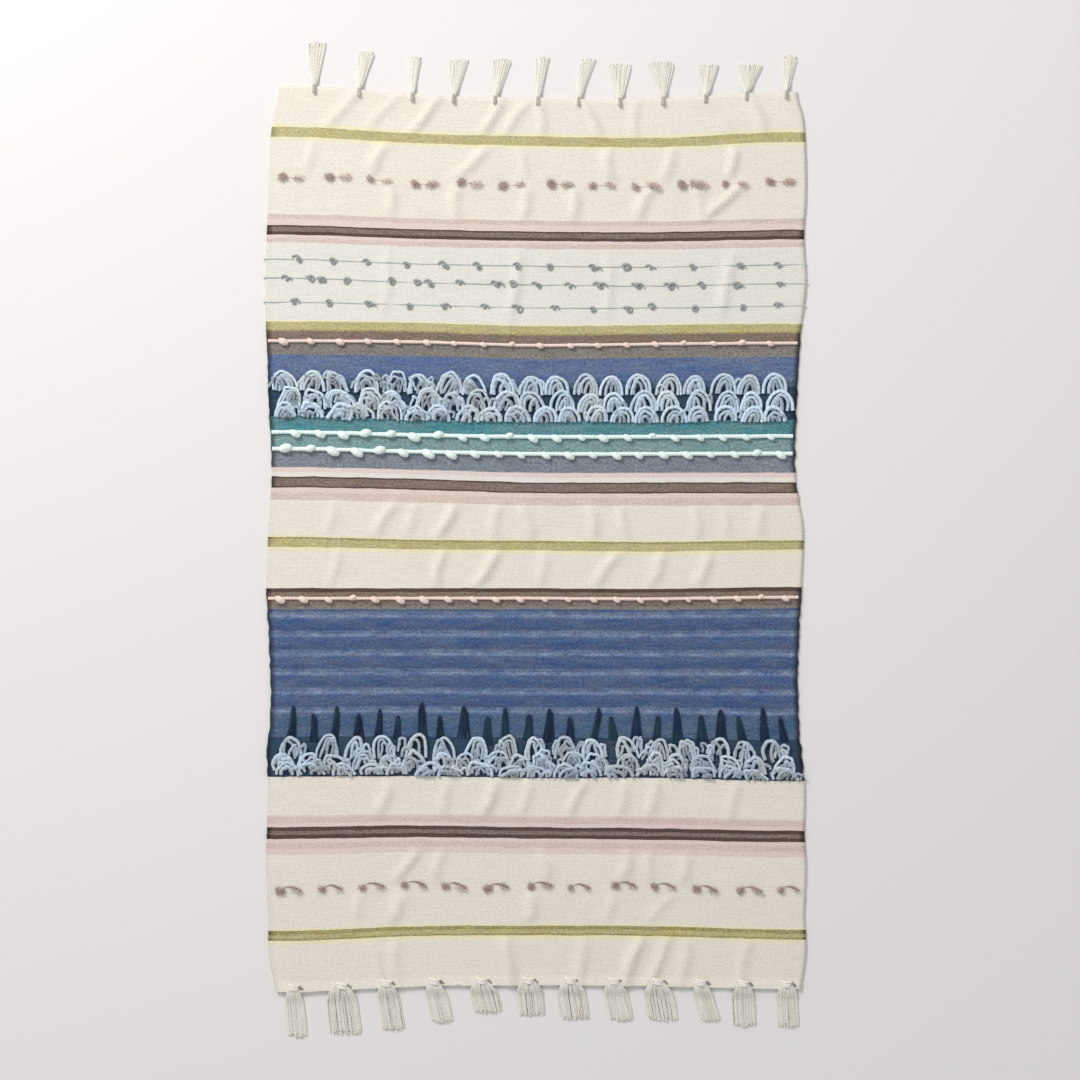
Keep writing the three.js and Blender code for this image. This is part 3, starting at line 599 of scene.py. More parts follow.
def yarn_tree():
    """Sweeps a round yarn along each line of the input, with its length and its turn round as the UV map."""
    tree, source = new_tree("Yarn Along A Line", {
        "Lines": "Geometry", "Sides": "Int", "Material": "Material"})
    lines = add(tree, "GeometryNodeMeshToCurve", {0: source[0]})
    radius = add(tree, "GeometryNodeInputNamedAttribute", {"Name": "radius"}, data_type="FLOAT")
    sized = add(tree, "GeometryNodeSetCurveRadius", {0: lines, 2: radius})
    length = add(tree, "GeometryNodeSplineParameter").outputs[1]
    along = add(tree, "GeometryNodeCaptureAttribute", {0: sized})
    along.capture_items.new("FLOAT", "Along")
    tree.links.new(length, along.inputs[1])
    ring = add(tree, "GeometryNodeCurvePrimitiveCircle", {"Resolution": source[1], "Radius": 1.0})
    turn = add(tree, "GeometryNodeSplineParameter").outputs[0]
    around = add(tree, "GeometryNodeCaptureAttribute", {0: ring})
    around.capture_items.new("FLOAT", "Around")
    tree.links.new(turn, around.inputs[1])
    swept = add(tree, "GeometryNodeCurveToMesh", {
        "Curve": along, "Profile Curve": around, "Scale": radius, "Fill Caps": True})
    uv = add(tree, "ShaderNodeCombineXYZ", {0: along.outputs[1], 1: around.outputs[1]})
    mapped = add(tree, "GeometryNodeStoreNamedAttribute", {0: swept, "Name": "UVMap", "Value": uv},
                 data_type="FLOAT2", domain="CORNER")
    smooth = add(tree, "GeometryNodeSetShadeSmooth", {0: mapped})
    return close_tree(tree, smooth, source[2])


def tuft_tree():
    """Stands short, bent fibres over each core of the input but not under it, and leaves the core out."""
    tree, source = new_tree("Fibres On A Core", {
        "Cores": "Geometry", "Fibre Length": "Float", "Fibre Radius": "Float", "Density": "Float",
        "Seed": "Int", "Material": "Material"})
    full = add(tree, "GeometryNodeInputNamedAttribute", {"Name": "full"}, data_type="FLOAT")
    density = add(tree, "ShaderNodeMath", {0: source[3], 1: full}, operation="MULTIPLY")
    normal = add(tree, "GeometryNodeInputNormal")
    facing = add(tree, "ShaderNodeSeparateXYZ", {0: normal}).outputs[2]
    not_down = add(tree, "FunctionNodeCompare", {0: facing, 1: -0.5}, operation="GREATER_THAN")
    spread = add(tree, "GeometryNodeDistributePointsOnFaces", {
        "Mesh": source[0], "Selection": not_down, "Density": density, "Seed": source[4]})
    half_length = add(tree, "ShaderNodeMath", {0: source[1], 1: 0.5}, operation="MULTIPLY")
    sideways = add(tree, "ShaderNodeMath", {0: source[1], 1: 0.65}, operation="MULTIPLY")
    tip = add(tree, "ShaderNodeCombineXYZ", {0: sideways, 2: half_length})
    middle = add(tree, "ShaderNodeCombineXYZ", {2: half_length})
    strand = add(tree, "GeometryNodeCurveQuadraticBezier", {
        "Resolution": 3, "Start": (0.0, 0.0, 0.0), "Middle": middle, "End": tip})
    share = add(tree, "GeometryNodeSplineParameter")
    thin = add(tree, "ShaderNodeMapRange", {0: share, 1: 0.0, 2: 1.0, 3: 1.0, 4: 0.35})
    thick = add(tree, "ShaderNodeMath", {0: thin, 1: source[2]}, operation="MULTIPLY")
    ring = add(tree, "GeometryNodeCurvePrimitiveCircle", {"Resolution": 3, "Radius": 1.0})
    fibre = add(tree, "GeometryNodeCurveToMesh", {"Curve": strand, "Profile Curve": ring, "Scale": thick})
    grown = add(
        tree, "FunctionNodeRandomValue", {2: 0.6, 3: 1.25, "Seed": source[4]}, data_type="FLOAT").outputs[1]
    leaning = add(tree, "FunctionNodeRandomValue", {
        0: (-0.5, -0.5, -3.0), 1: (0.5, 0.5, 3.0), "Seed": source[4]}, data_type="FLOAT_VECTOR")
    turned = add(tree, "FunctionNodeRotateRotation", {
        0: spread.outputs[2], 1: leaning}, rotation_space="LOCAL")
    stood = add(tree, "GeometryNodeInstanceOnPoints", {
        "Points": spread, "Instance": fibre, "Rotation": turned, "Scale": grown})
    return close_tree(tree, stood, source[5])


def put(name, data):
    """A new object in the scene."""
    thing = bpy.data.objects.new(name, data)
    bpy.context.scene.collection.objects.link(thing)
    return thing


def run_tree(name, mesh, tree, values):
    """A plain object made by one geometry tree from a mesh, with the tree's inputs set by name."""
    source = put(name + "_source", mesh)
    modifier = source.modifiers.new("Tree", "NODES")
    modifier.node_group = tree
    sockets = {item.name: item.identifier for item in tree.interface.items_tree if item.in_out == "INPUT"}
    for key, value in values.items():
        modifier[sockets[key]] = value
    bpy.context.view_layer.update()
    graph = bpy.context.evaluated_depsgraph_get()
    result = bpy.data.meshes.new_from_object(source.evaluated_get(graph), depsgraph=graph)
    result.name = name
    source.modifiers.remove(modifier)
    bpy.data.objects.remove(source)
    bpy.data.meshes.remove(mesh)
    if not result.polygons:
        raise RuntimeError(f"{name}: the tree made no faces")
    return put(name, result)


def tree_mesh(name, points, edges, faces, **values):
    """A mesh for a geometry tree, whose points carry the values that the tree reads by name."""
    mesh = bpy.data.meshes.new(name)
    mesh.from_pydata(points, edges, faces)
    for key, numbers in values.items():
        mesh.attributes.new(key, "FLOAT", "POINT").data.foreach_set("value", numbers)
    return mesh


def lines_mesh(name, lines):
    """Lines of (point, radius) with one shade each, as a mesh of edges with the yarn tree's attributes."""
    points, edges, radii, shades = [], [], [], []
    for steps, shade in lines:
        first = len(points)
        for place_of, radius in steps:
            points.append(place_of)
            radii.append(radius)
            shades.append(shade)
        edges.extend((i, i + 1) for i in range(first, len(points) - 1))
    return tree_mesh(name, points, edges, [], radius=radii, shade=shades)


def sweep(name, lines, sides, material):
    """A piece of yarns, each swept along one line."""
    return run_tree(name, lines_mesh(name, lines), TREES["yarn"], {"Sides": sides, "Material": material})


TREES = {}


def finish_piece(piece, slot, *nodes):
    """The piece rides with the rug and stands for its CAD nodes, which are hidden. The slot is not used."""
    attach(piece, BODY)
    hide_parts(*nodes)


# How a fold is drawn: how far its crest sways, how wide half of it is and by how much a higher one is wider,
# how much higher than its number it stands, and how many half widths away it ends
FOLD_SWAY = 3.0
FOLD_HALF_WIDTH = 7.5
FOLD_WIDENING = 1.2
FOLD_RISE = 1.15
FOLD_END = 3.2

# A fold fades out past its band's two lines, by at most this much.
FOLD_MARGIN = 30


def near_folds(along):
    """The bands whose folds reach this line."""
    return [row for row in FOLDS if row[1] - FOLD_MARGIN < along < row[0] + FOLD_MARGIN]


def fold_lift(across, along, folds):
    """How far the folds of one band lift the cloth, in millimetres."""
    lift = 0.0
    for top, bottom, rows in folds:
        share = (top - along) / (top - bottom)
        if share < -0.25 or share > 1.25:
            continue
        fade = ramp_up(-0.2, 0.3, share) * ramp_up(1.2, 0.7, share)
        for k, (start, end, high) in enumerate(rows):
            crest = start + (end - start) * share + FOLD_SWAY * math.sin(share * 5.0 + k * 2.1)
            apart = (across - crest) / (FOLD_HALF_WIDTH + FOLD_WIDENING * (high % 3))
            if abs(apart) < FOLD_END:
                lift = max(lift, high * FOLD_RISE * fade * math.exp(-apart * apart))
    return lift


def rib_lift(across, along, height):
    """How far the soft wefts of the blue band stand up, in millimetres. Each swells and thins on its way."""
    number = round((RIBS_FIRST - along) / RIB_PITCH)
    if not 0 <= number < RIBS_COUNT:
        return 0.0
    apart = (along - (RIBS_FIRST - number * RIB_PITCH)) / RIB_HALF_WIDTH
    slub = 0.75 + 0.5 * noise.noise(Vector((across * 0.03, number * 7.3, 0.0)))
    return height * slub * math.exp(-apart * apart)


def cloth_rows(row_step):
    """The lines of the cloth's mesh, closer together in the ribbed band."""
    rows = []
    along = HALF_LENGTH
    while along > -HALF_LENGTH:
        rows.append(along)
        in_ribs = RIBS_LAST - 10 < along < RIBS_FIRST + 10
        along -= row_step * (0.5 if in_ribs else 1.0)
    rows.append(-HALF_LENGTH)
    return rows


# The selvedges jog where the wefts turn: how far in from the edge, how much in the plain bands, and how much
# in the dyed bands at the left and at the right. The ends wave a little, and the lower one stands up.
JOG_REACH = 14.0
JOG_PLAIN = 0.9
JOG_DYED = (2.2, 2.8)
DYED_BANDS = ((-405, -80), (66, 360))
END_REACH = 16.0
END_WAVE = 1.6
SOFT_LIFT = 0.9
LOWER_END_LIFT = 3.0


def cloth_row(along, columns, thick, rib_height):
    """One line of the cloth's mesh: its points on the face, on the back, and their places on the UV map."""
    line = weft_line(along)
    is_dyed = any(low < along < high for low, high in DYED_BANDS)
    jogs = [
        (dyed if is_dyed else JOG_PLAIN) * noise.noise(Vector((along * step, at, 0.0)))
        for dyed, step, at in zip(JOG_DYED, (0.085, 0.07), (3.7, 9.1))]
    near = near_folds(along)
    to_end = ramp_up(END_REACH, 0.0, HALF_LENGTH - abs(along))
    face, back, plan = [], [], []
    for c in range(columns + 1):
        across = -HALF_WIDTH + CLOTH_WIDTH * c / columns
        x, y = on_weft(line, across, along)
        x += jogs[0] * ramp_up(JOG_REACH, 0.0, across + HALF_WIDTH)
        x += jogs[1] * ramp_up(JOG_REACH, 0.0, HALF_WIDTH - across)
        y += to_end * END_WAVE * noise.noise(Vector((across * 0.03, along, 1.3)))
        soft = 0.35 + 0.65 * noise.noise(Vector((across * 0.011, along * 0.014, 5.2)))
        lift = fold_lift(across, along, near) + (max(soft, 0.0) * SOFT_LIFT if near else 0.0)
        lift += LOWER_END_LIFT * ramp_up(14.0 - HALF_LENGTH, 5.0 - HALF_LENGTH, along)
        px, py = (x + SHIFT[0]) * MM, (y + SHIFT[1]) * MM
        face.append((px, py, (lift + thick + rib_lift(across, along, rib_height)) * MM))
        back.append((px, py, lift * MM))
        plan.append((across / CLOTH_WIDTH + 0.5, along / CLOTH_LENGTH + 0.5))
    return face, back, plan


def cloth_mesh(props):
    """The cloth: an even sheet on the floor that rises in its folds, with ribs on its face."""
    rows = cloth_rows(props.row_step / MM)
    columns = round(CLOTH_WIDTH / (props.column_step / MM))
    face, back, plan = [], [], []
    for along in rows:
        parts = cloth_row(along, columns, props.thickness / MM, props.rib_height / MM)
        for whole, part in zip((face, back, plan), parts):
            whole.extend(part)
    wide, count = columns + 1, len(face)
    faces = []
    for r in range(len(rows) - 1):
        for c in range(columns):
            a = r * wide + c
            faces.append((a, a + wide, a + wide + 1, a + 1))
            faces.append((count + a, count + a + 1, count + a + wide + 1, count + a + wide))

    # A rim joins the face to the back, all the way round.
    rim = list(range(wide)) + [r * wide + columns for r in range(1, len(rows))]
    rim += [(len(rows) - 1) * wide + c for c in range(columns - 1, -1, -1)]
    rim += [r * wide for r in range(len(rows) - 2, 0, -1)]
    for a, b in zip(rim, rim[1:] + rim[:1]):
        faces.append((a, b, count + b, count + a))
    mesh = bpy.data.meshes.new("hand_woven_cloth")
    mesh.from_pydata(face + back, [], faces)
    flat = [value for loop in mesh.loops for value in plan[loop.vertex_index % count]]
    mesh.uv_layers.new(name="UVMap").data.foreach_set("uv", flat)
    mesh.polygons.foreach_set("use_smooth", [True] * len(mesh.polygons))
    return mesh


class RUG_OT_cloth(bpy.types.Operator):
    """Weave the striped cloth with its folds and ribs"""

    bl_idname = "rug.cloth"
    bl_label = "Cloth"

    def execute(self, context):
        props = context.scene.rug_cloth
        piece = put("hand_woven_cloth", cloth_mesh(props))
        piece.data.materials.append(cloth_material(props))
        finish_piece(piece, "cloth", CLOTH_NODE)
        return {"FINISHED"}


# A pale loop's arch: its bends, how round its crown is, how far its feet splay, how far a jumbled one strays
# across and along, and how high its feet stand above the floor
ARCH_BENDS = 14
ARCH_CROWN = 0.64
ARCH_SPLAY = 0.16
ARCH_STRAY = (3.0, 2.4)
ARCH_FOOT = 5.6

# A row of loops is jumbled one way left of the first place and the other way right of the second.
JUMBLE_TURNS = (-240.0, 100.0)
LOOP_DRIFT = 3.5


def arch(centre, foot, wide, high, lean, lift, rough, chance):
    """One yarn's arch with splayed feet: places across and along, with heights, in millimetres."""
    wobble = chance.uniform(0.0, 50.0)
    steps = []
    for s in range(ARCH_BENDS + 1):
        angle = math.pi * (1.0 - s / ARCH_BENDS)
        up = max(math.sin(angle), 0.0) ** ARCH_CROWN
        side = math.cos(angle)
        across = centre + wide * ((1.0 - ARCH_SPLAY) * side + ARCH_SPLAY * side ** 9) + lean * up
        across += ARCH_STRAY[0] * rough * noise.noise(Vector((s * 0.3, wobble, 0.0)))
        along = foot + high * up + ARCH_STRAY[1] * rough * noise.noise(Vector((s * 0.3, wobble, 4.0)))
        steps.append((across, along, ARCH_FOOT + lift * up))
    return steps


def loop_lines(row, props, chance):
    """One row of pale loops. Thick yarns nest in each loop, side by side. Where the row is jumbled they are
    thinner, askew and more."""
    _, foot, count, first, last, reach, tuck, yarns, full, rough_left, rough_right, seed = row
    half = (last - first) / (count - 1) * 0.5
    lift = props.loop_lift / MM
    # Painted light: a loop's outer yarn is a painted highlight, more so in a fuller loop, and inner yarns
    # painted shade.
    crown = 0.78 + 0.14 * yarns
    lines = []
    for centre, swell, lean in spaced(count, first, last, LOOP_DRIFT, seed):
        rough = rough_left + (rough_right - rough_left) * ramp_up(*JUMBLE_TURNS, centre)
        nested = yarns + (1 if rough > 1.1 and chance.random() < 0.25 * yarns else 0)
        thin = props.loop_yarn / MM / 2 * chance.uniform(0.82, 1.0) * (1.0 - 0.12 * (nested - yarns))
        tall = reach * (1.0 + 0.08 * swell) + tuck - thin + chance.uniform(-1.0, 1.0) * rough
        low = foot - tuck + chance.uniform(-1.5, 1.5)
        tip = lean * 4.0 * rough
        outer = half * full * (0.93 + 0.1 * swell) - thin * 0.7
        slit = chance.uniform(-0.25, 0.25) * half
        for k in range(nested):
            share = max(1.0 - (k + 0.2 * chance.uniform(-1.0, 1.0)) / (nested - 0.15), 0.14)
            steps = arch(
                centre + slit * k / nested + chance.uniform(-1.0, 1.0) * 1.8 * rough, low,
                outer * share, tall - k * thin * 2.1 + chance.uniform(-1.2, 1.2) * rough,
                tip + chance.uniform(-1.0, 1.0) * 3.2 * rough, lift * (1.0 + 0.12 * k), rough, chance)
            thick = thin * MM * chance.uniform(0.85, 1.1)
            shade = crown - 0.2 * k + chance.uniform(-0.16, 0.16)
            lines.append(([(point(*step), thick) for step in steps], shade))
        # Stray arches lie among the nested ones where the row is jumbled.
        for _ in range(round(rough * 1.5)):
            steps = arch(
                centre + chance.uniform(-1.0, 1.0) * half * 0.9, low + chance.uniform(0.0, tall * 0.35),
                half * chance.uniform(0.16, 0.4), tall * chance.uniform(0.35, 0.65),
                chance.uniform(-5.0, 5.0), lift * chance.uniform(0.7, 1.3), rough, chance)
            lines.append(([(point(*step), thin * 0.85 * MM) for step in steps], chance.uniform(0.6, 1.15)))
    return lines


class RUG_OT_pale_loops(bpy.types.Operator):
    """Pull up the rows of pale loops"""

    bl_idname = "rug.pale_loops"
    bl_label = "Pale Loops"

    def execute(self, context):
        props = context.scene.rug_yarns
        # Two-ply pale wool, soft and slightly glossy where the light rakes it
        material = yarn_material(
            "plied_pale_wool", props.pale, groove_shade_share=0.16, ply_pitch=9.0, second=props.pale_warm)
        for row in LOOP_ROWS:
            chance = random.Random(100 + row[-1])
            piece = sweep(row[0] + "_yarns", loop_lines(row, props, chance), 6, material)
            finish_piece(piece, "loops", row[0])
        return {"FINISHED"}


# A navy loop: its bends and drift, how far its yarns' feet are tucked down, and how high its crown stands
NAVY_BENDS = 16
NAVY_DRIFT = 3.0
NAVY_TUCK = (12.0, 24.0)
NAVY_FOOT = 2.6
NAVY_LIFT = 4.5


def navy_lines(row, props, chance):
    """The navy loops: each a bundle of yarns that nearly meet along its middle and part at its feet."""
    _, foot, count, first, last, tall, short, seed = row
    radius = props.navy_yarn / 2
    lines = []
    for i, (centre, swell, lean) in enumerate(spaced(count, first, last, NAVY_DRIFT, seed)):
        reach = (tall if i % 2 == 0 else short) * (1.0 + 0.1 * swell) * chance.uniform(0.9, 1.06)
        drop = chance.uniform(*NAVY_TUCK)
        tilt = lean * 5.0 + chance.uniform(-5.0, 5.0)
        legs = (chance.uniform(2.0, 9.0), chance.uniform(2.0, 9.0))
        tip = chance.uniform(1.2, 2.3)
        for k in range(props.navy_yarns):
            inner = k / (props.navy_yarns - 1)
            share = 1.0 - 0.4 * inner
            shade = chance.uniform(0.6, 1.25)
            wobble = chance.uniform(0.0, 50.0)
            slip = chance.uniform(-1.8, 1.8)
            tip_half = tip * (1.0 - 0.5 * inner)
            steps = []
            for s in range(NAVY_BENDS + 1):
                side = 2.0 * s / NAVY_BENDS - 1.0
                up = 1.0 - abs(side) ** 1.9
                leg = legs[0] if side < 0 else legs[1]
                wide = leg * (share * 2.4 - 1.4) * abs(side) ** 2.2 + tip_half * min(abs(side) * 3.5, 1.0)
                across = centre + slip + math.copysign(wide, side) + tilt * up
                across += 1.2 * noise.noise(Vector((s * 0.25, wobble, 0.0)))
                along = foot - drop + (reach * share + drop) * up
                z = NAVY_FOOT + NAVY_LIFT * up * (1.2 - 0.4 * share)
                steps.append((point(across, along, z), radius * (1.0 + 0.2 * abs(side))))
            lines.append((steps, shade))
    return lines


class RUG_OT_navy_loops(bpy.types.Operator):
    """Pull up the long navy loops"""

    bl_idname = "rug.navy_loops"
    bl_label = "Navy Loops"

    def execute(self, context):
        props = context.scene.rug_yarns
        # Two-ply navy wool, with deep painted shade in the grooves between its plies
        material = yarn_material("plied_navy_wool", props.navy, groove_shade_share=0.35, second=props.navy_green)
        chance = random.Random(NAVY_ROW[-1])
        piece = sweep(NAVY_ROW[0] + "_yarns", navy_lines(NAVY_ROW, props, chance), 6, material)
        finish_piece(piece, "navy", NAVY_ROW[0])
        return {"FINISHED"}


def surface(across, along):
    """The height of the cloth's face in millimetres, folds and all."""
    return CLOTH_THICK + fold_lift(across, along, near_folds(along))


# How long the steps of a laid-in yarn are, and the length of a knot of either cord, in millimetres
LAID_STEP = 4.0
WHITE_KNOT = 15.5
PEACH_KNOT = 11.5
KNOT_BENDS = 8


def knot_cord_lines(row, radius, knot, chance):
    """A cord laid along a weft's line, then its knots: short slubs askew on it or below it, larger at the
    left."""
    _, line, count, first, last, drift, hang, seed = row
    end = HALF_WIDTH - 3.0
    mm_radius = radius / MM
    steps = []
    across = -end
    while across <= end:
        slub = 1.0 + 0.2 * noise.noise(Vector((across * 0.04, seed, 2.0)))
        sag = 0.7 * noise.noise(Vector((across * 0.02, seed, 8.0)))
        z = surface(across, line) + mm_radius * slub * 0.8
        steps.append((point(across, line + sag, z), radius * slub))
        across += LAID_STEP
    lines = [(steps, 1.0)]
    for centre, _, _ in spaced(count, first, last, drift, seed):
        grow = chance.uniform(0.8, 1.15) * (1.2 - 0.3 * ramp_up(-300.0, 100.0, centre))
        half = knot * 0.5 * grow
        upwards = chance.random() < 0.15
        start, stop = chance.uniform(0.5, 2.0), -chance.uniform(5.0, 8.0) * grow * hang
        if upwards:
            start, stop = -1.0, 3.5
        steps = []
        for s in range(KNOT_BENDS + 1):
            share = s / KNOT_BENDS
            bell = math.sin(math.pi * (0.06 + 0.88 * share)) ** 0.6
            x = centre + half * (2.0 * share - 1.0)
            y = line + start + (stop - start) * share
            z = surface(x, y) + mm_radius * (0.7 + 0.9 * bell)
            steps.append((point(x, y, z), radius * (0.4 + 1.4 * bell * grow)))
        lines.append((steps, 1.0))
    return lines


class RUG_OT_knot_cords(bpy.types.Operator):
    """Lay in the white and the peach cords with their knots"""

    bl_idname = "rug.knot_cords"
    bl_label = "Knotted Cords"

    def execute(self, context):
        props = context.scene.rug_yarns
        # Loosely spun ice-white wool, the lightest thing on the rug
        white = yarn_material("slub_ice_white_wool", props.white, groove_shade_share=0.06, ply_pitch=7.0)
        # Soft peach wool with small, hard knots
        peach = yarn_material("knotted_peach_wool", props.peach, groove_shade_share=0.08, ply_pitch=6.0)
        for rows, radius, knot, slot, material in (
                (WHITE_CORDS, props.cord / 2, WHITE_KNOT, "white", white),
                (PEACH_CORDS, props.peach_cord / 2, PEACH_KNOT, "peach", peach)):
            for row in rows:
                chance = random.Random(row[-1])
                piece = sweep(row[0] + "_yarn", knot_cord_lines(row, radius, knot, chance), 10, material)
                finish_piece(piece, slot, row[0])
        return {"FINISHED"}


# How many bends one turn of a curl has
CURL_BENDS = 13


def curl_lines(row, radius, chance):
    """A thin yarn that dips in and out of the cloth, with open rings where it has snarled into a curl."""
    _, line, seed, curls = row
    lines = []
    across = -HALF_WIDTH - 4.0
    for place_of in curls + (HALF_WIDTH + 8.0,):
        steps = []
        while across < place_of - 3.0:
            sag = 0.9 * noise.noise(Vector((across * 0.03, seed, 0.0)))
            dip = 1.2 * noise.noise(Vector((across * 0.03, seed, 6.0)))
            steps.append((point(across, line + sag, surface(across, line) + dip), radius * 1.15))
            across += LAID_STEP
        if len(steps) > 1:
            lines.append((steps, 1.5))
        if place_of > HALF_WIDTH:
            break
        turns = chance.choice((1.5, 1.5, 2, 2.5))
        ring = chance.uniform(3.6, 5.6)
        drift = chance.uniform(3.0, 6.0) * turns
        tilt = chance.uniform(-2.5, 1.5)
        bends = round(turns * CURL_BENDS)
        steps = []
        for s in range(bends + 1):
            share = s / bends
            angle = 2 * math.pi * turns * share + chance.uniform(-0.12, 0.12)
            wide = ring * (0.72 + 0.35 * math.sin(share * 6.0 + place_of))
            x = place_of + drift * (share - 0.5) - wide * math.cos(angle)
            y = line + tilt + ring * 0.3 + wide * math.sin(angle) - 3.0 * share
            z = surface(x, y) + 0.9 + 1.4 * share * turns * (0.6 + 0.4 * math.sin(angle * 0.5))
            steps.append((point(x, y, z), radius * chance.uniform(1.5, 1.8)))
        lines.append((steps, 0.95))
        across = place_of + drift * 0.5 + 1.0
    return lines


class RUG_OT_curl_yarns(bpy.types.Operator):
    """Lay in the thin grey yarns with their curls"""

    bl_idname = "rug.curl_yarns"
    bl_label = "Curled Yarns"

    def execute(self, context):
        props = context.scene.rug_yarns
        radius = props.curl_yarn / 2
        # Thin, hard-twisted grey-blue wool that snarls into curls
        material = yarn_material("snarled_grey_wool", props.grey, groove_shade_share=0.25, ply_pitch=3.5)
        for row in CURL_YARNS:
            chance = random.Random(row[2])
            piece = sweep(row[0] + "_yarn", curl_lines(row, radius, chance), 7, material)
            finish_piece(piece, "curls", row[0])
        return {"FINISHED"}


def core_mesh(name, cores):
    """Small lumps that fibres stand on: centre, half sizes in x, y and z, slant, share of pink, fullness."""
    sides, rings = 8, 5
    points, faces, pinks, fulls = [], [], [], []
    for centre, half, lean, pink, full in cores:
        first = len(points)
        for r in range(rings):
            up = -math.pi / 2 + math.pi * (r + 0.5) / rings
            for s in range(sides):
                turn = 2 * math.pi * s / sides
                x = half[0] * math.cos(up) * math.cos(turn)
                y = half[1] * math.cos(up) * math.sin(turn) + lean * x
                points.append((centre[0] + x, centre[1] + y, centre[2] + half[2] * math.sin(up)))
                pinks.append(pink)
                fulls.append(full)
        for r in range(rings - 1):
            for s in range(sides):
                a, b = first + r * sides + s, first + r * sides + (s + 1) % sides
                faces.append((a, b, b + sides, a + sides))
        faces.append(tuple(first + (rings - 1) * sides + s for s in range(sides)))
    return tree_mesh(name, points, [], faces, pink=pinks, full=fulls)


# Loose brown and pink wool, teased out, so it is matt and its tips are light.
def tuft_material(props):
    material, tree = new_material("teased_brown_wool")
    coords = add(tree, "ShaderNodeTexCoord").outputs[3]
    pink = add(tree, "ShaderNodeAttribute", attribute_name="pink").outputs[2]
    spot = add(tree, "ShaderNodeTexNoise", {"Vector": coords, "Scale": per_metre(TUFT_PINK), "Detail": 1.0})
    share = add(tree, "ShaderNodeMath", {0: spot, 1: 0.9, 2: pink}, operation="MULTIPLY_ADD")
    inner = add(tree, "ShaderNodeMath", {0: share, 1: 0.45}, operation="SUBTRACT", use_clamp=True)
    mixed = add(tree, "ShaderNodeMix", {
        0: inner, 6: (*props.tuft, 1.0), 7: (*props.tuft_pink, 1.0)}, data_type="RGBA").outputs[2]
    fine = add(tree, "ShaderNodeTexNoise", {"Vector": coords, "Scale": per_metre(TUFT_FLUFF), "Detail": 2.0})
    tone = add(tree, "ShaderNodeMapRange", {0: fine, 1: 0.3, 2: 0.7, 3: 0.75, 4: 1.15})
    toned = add(tree, "ShaderNodeVectorMath", {0: mixed, "Scale": tone}, operation="SCALE")
    shader = add(tree, "ShaderNodeBsdfPrincipled", {
        "Base Color": toned, "Roughness": 1.0, "Specular IOR Level": 0.1,
        "Sheen Weight": 0.2, "Sheen Roughness": 0.6})
    add(tree, "ShaderNodeOutputMaterial", {0: shader})
    return material


# A pair of tufts: half the way between the two, the half width of the first, how deep each is, how thick a
# core is, by how much the fibres stand out from it, how thick they are and how many stand on a square metre
TUFT_APART = 14.5
TUFT_FIRST = 5.6
TUFT_DEPTHS = (4.4, 3.6)
TUFT_CORE = 1.3
TUFT_SWELL = 1.12
TUFT_FIBRE_RADIUS = 0.36
TUFT_DENSITY = 1000000.0
JOIN_BENDS = 12


class RUG_OT_tuft_yarns(bpy.types.Operator):
    """Tease out the brown and pink tufts"""

    bl_idname = "rug.tuft_yarns"
    bl_label = "Tufts"

    def execute(self, context):
        props = context.scene.rug_yarns
        material = tuft_material(props)
        # The same wool, spun, where it runs from one tuft of a pair to the other
        brown = yarn_material("spun_brown_wool", props.tuft, groove_shade_share=0.2, ply_pitch=4.0)
        pale = yarn_material("spun_pale_wool", props.tuft_pink, groove_shade_share=0.1, ply_pitch=4.0)
        for row in TUFT_YARNS:
            node, line, count, first, last, drift, second, loose, rise, pinker, seed = row
            chance = random.Random(seed)
            cores, arcs = [], []
            for place_of, swell, lean in spaced(count, first, last, drift, seed):
                ends = []
                for side in (-1, 1):
                    across = place_of + side * (TUFT_APART + chance.uniform(-2.0, 2.0))
                    up = line + lean * 2.0 + chance.uniform(-2.0, 2.0)
                    centre = point(across, up, surface(across, up) + 1.6)
                    grow = 1.0 + 0.2 * swell + (0.35 if chance.random() < 0.12 else 0.0)
                    wide = (TUFT_FIRST if side < 0 else second) * grow * chance.uniform(0.8, 1.2)
                    pink = pinker * (0.6 if side < 0 else 1.0)
                    pink += chance.uniform(-0.1, 0.2) if side < 0 else chance.uniform(0.3, 0.8)
                    deep = TUFT_DEPTHS[0 if side < 0 else 1] * grow
                    slope = -0.04 * rise
                    tilt = chance.uniform(-0.5, 0.2) if side < 0 else slope + chance.uniform(-0.3, 0.2)
                    full = 1.0 if side < 0 else loose + chance.uniform(-0.12, 0.12)
                    half = (wide * TUFT_SWELL * MM, deep * TUFT_SWELL * MM, TUFT_CORE * MM)
                    cores.append((centre, half, tilt, pink, full))
                    ends.append((across + (wide * 0.7 if side > 0 else 0.0), up - (1.0 if side > 0 else 0.0)))
                steps = []
                for s in range(JOIN_BENDS + 1):
                    share = s / JOIN_BENDS
                    x = ends[0][0] + (ends[1][0] - ends[0][0]) * share
                    y = ends[0][1] + (ends[1][1] - ends[0][1]) * share
                    y += rise * math.sin(math.pi * share ** 0.8)
                    thick = 0.36 + 0.24 * rise * ramp_up(0.2, 0.75, share)
                    steps.append((point(x, y, surface(x, y) + 1.4), thick * MM))
                arcs.append((steps, 1.25 - 0.08 * rise))
            fibres = run_tree(node + "_fibres", core_mesh(node, cores), TREES["tuft"], {
                "Fibre Length": props.tuft_fibre, "Fibre Radius": TUFT_FIBRE_RADIUS * MM,
                "Density": TUFT_DENSITY, "Seed": seed, "Material": material})
            finish_piece(fibres, "tufts", node)
            joins = sweep(node + "_joins", arcs, 6, brown if rise > 2.0 else pale)
            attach(joins, BODY)
        return {"FINISHED"}


# How many bends a tassel's yarn has
TASSEL_BENDS = 12


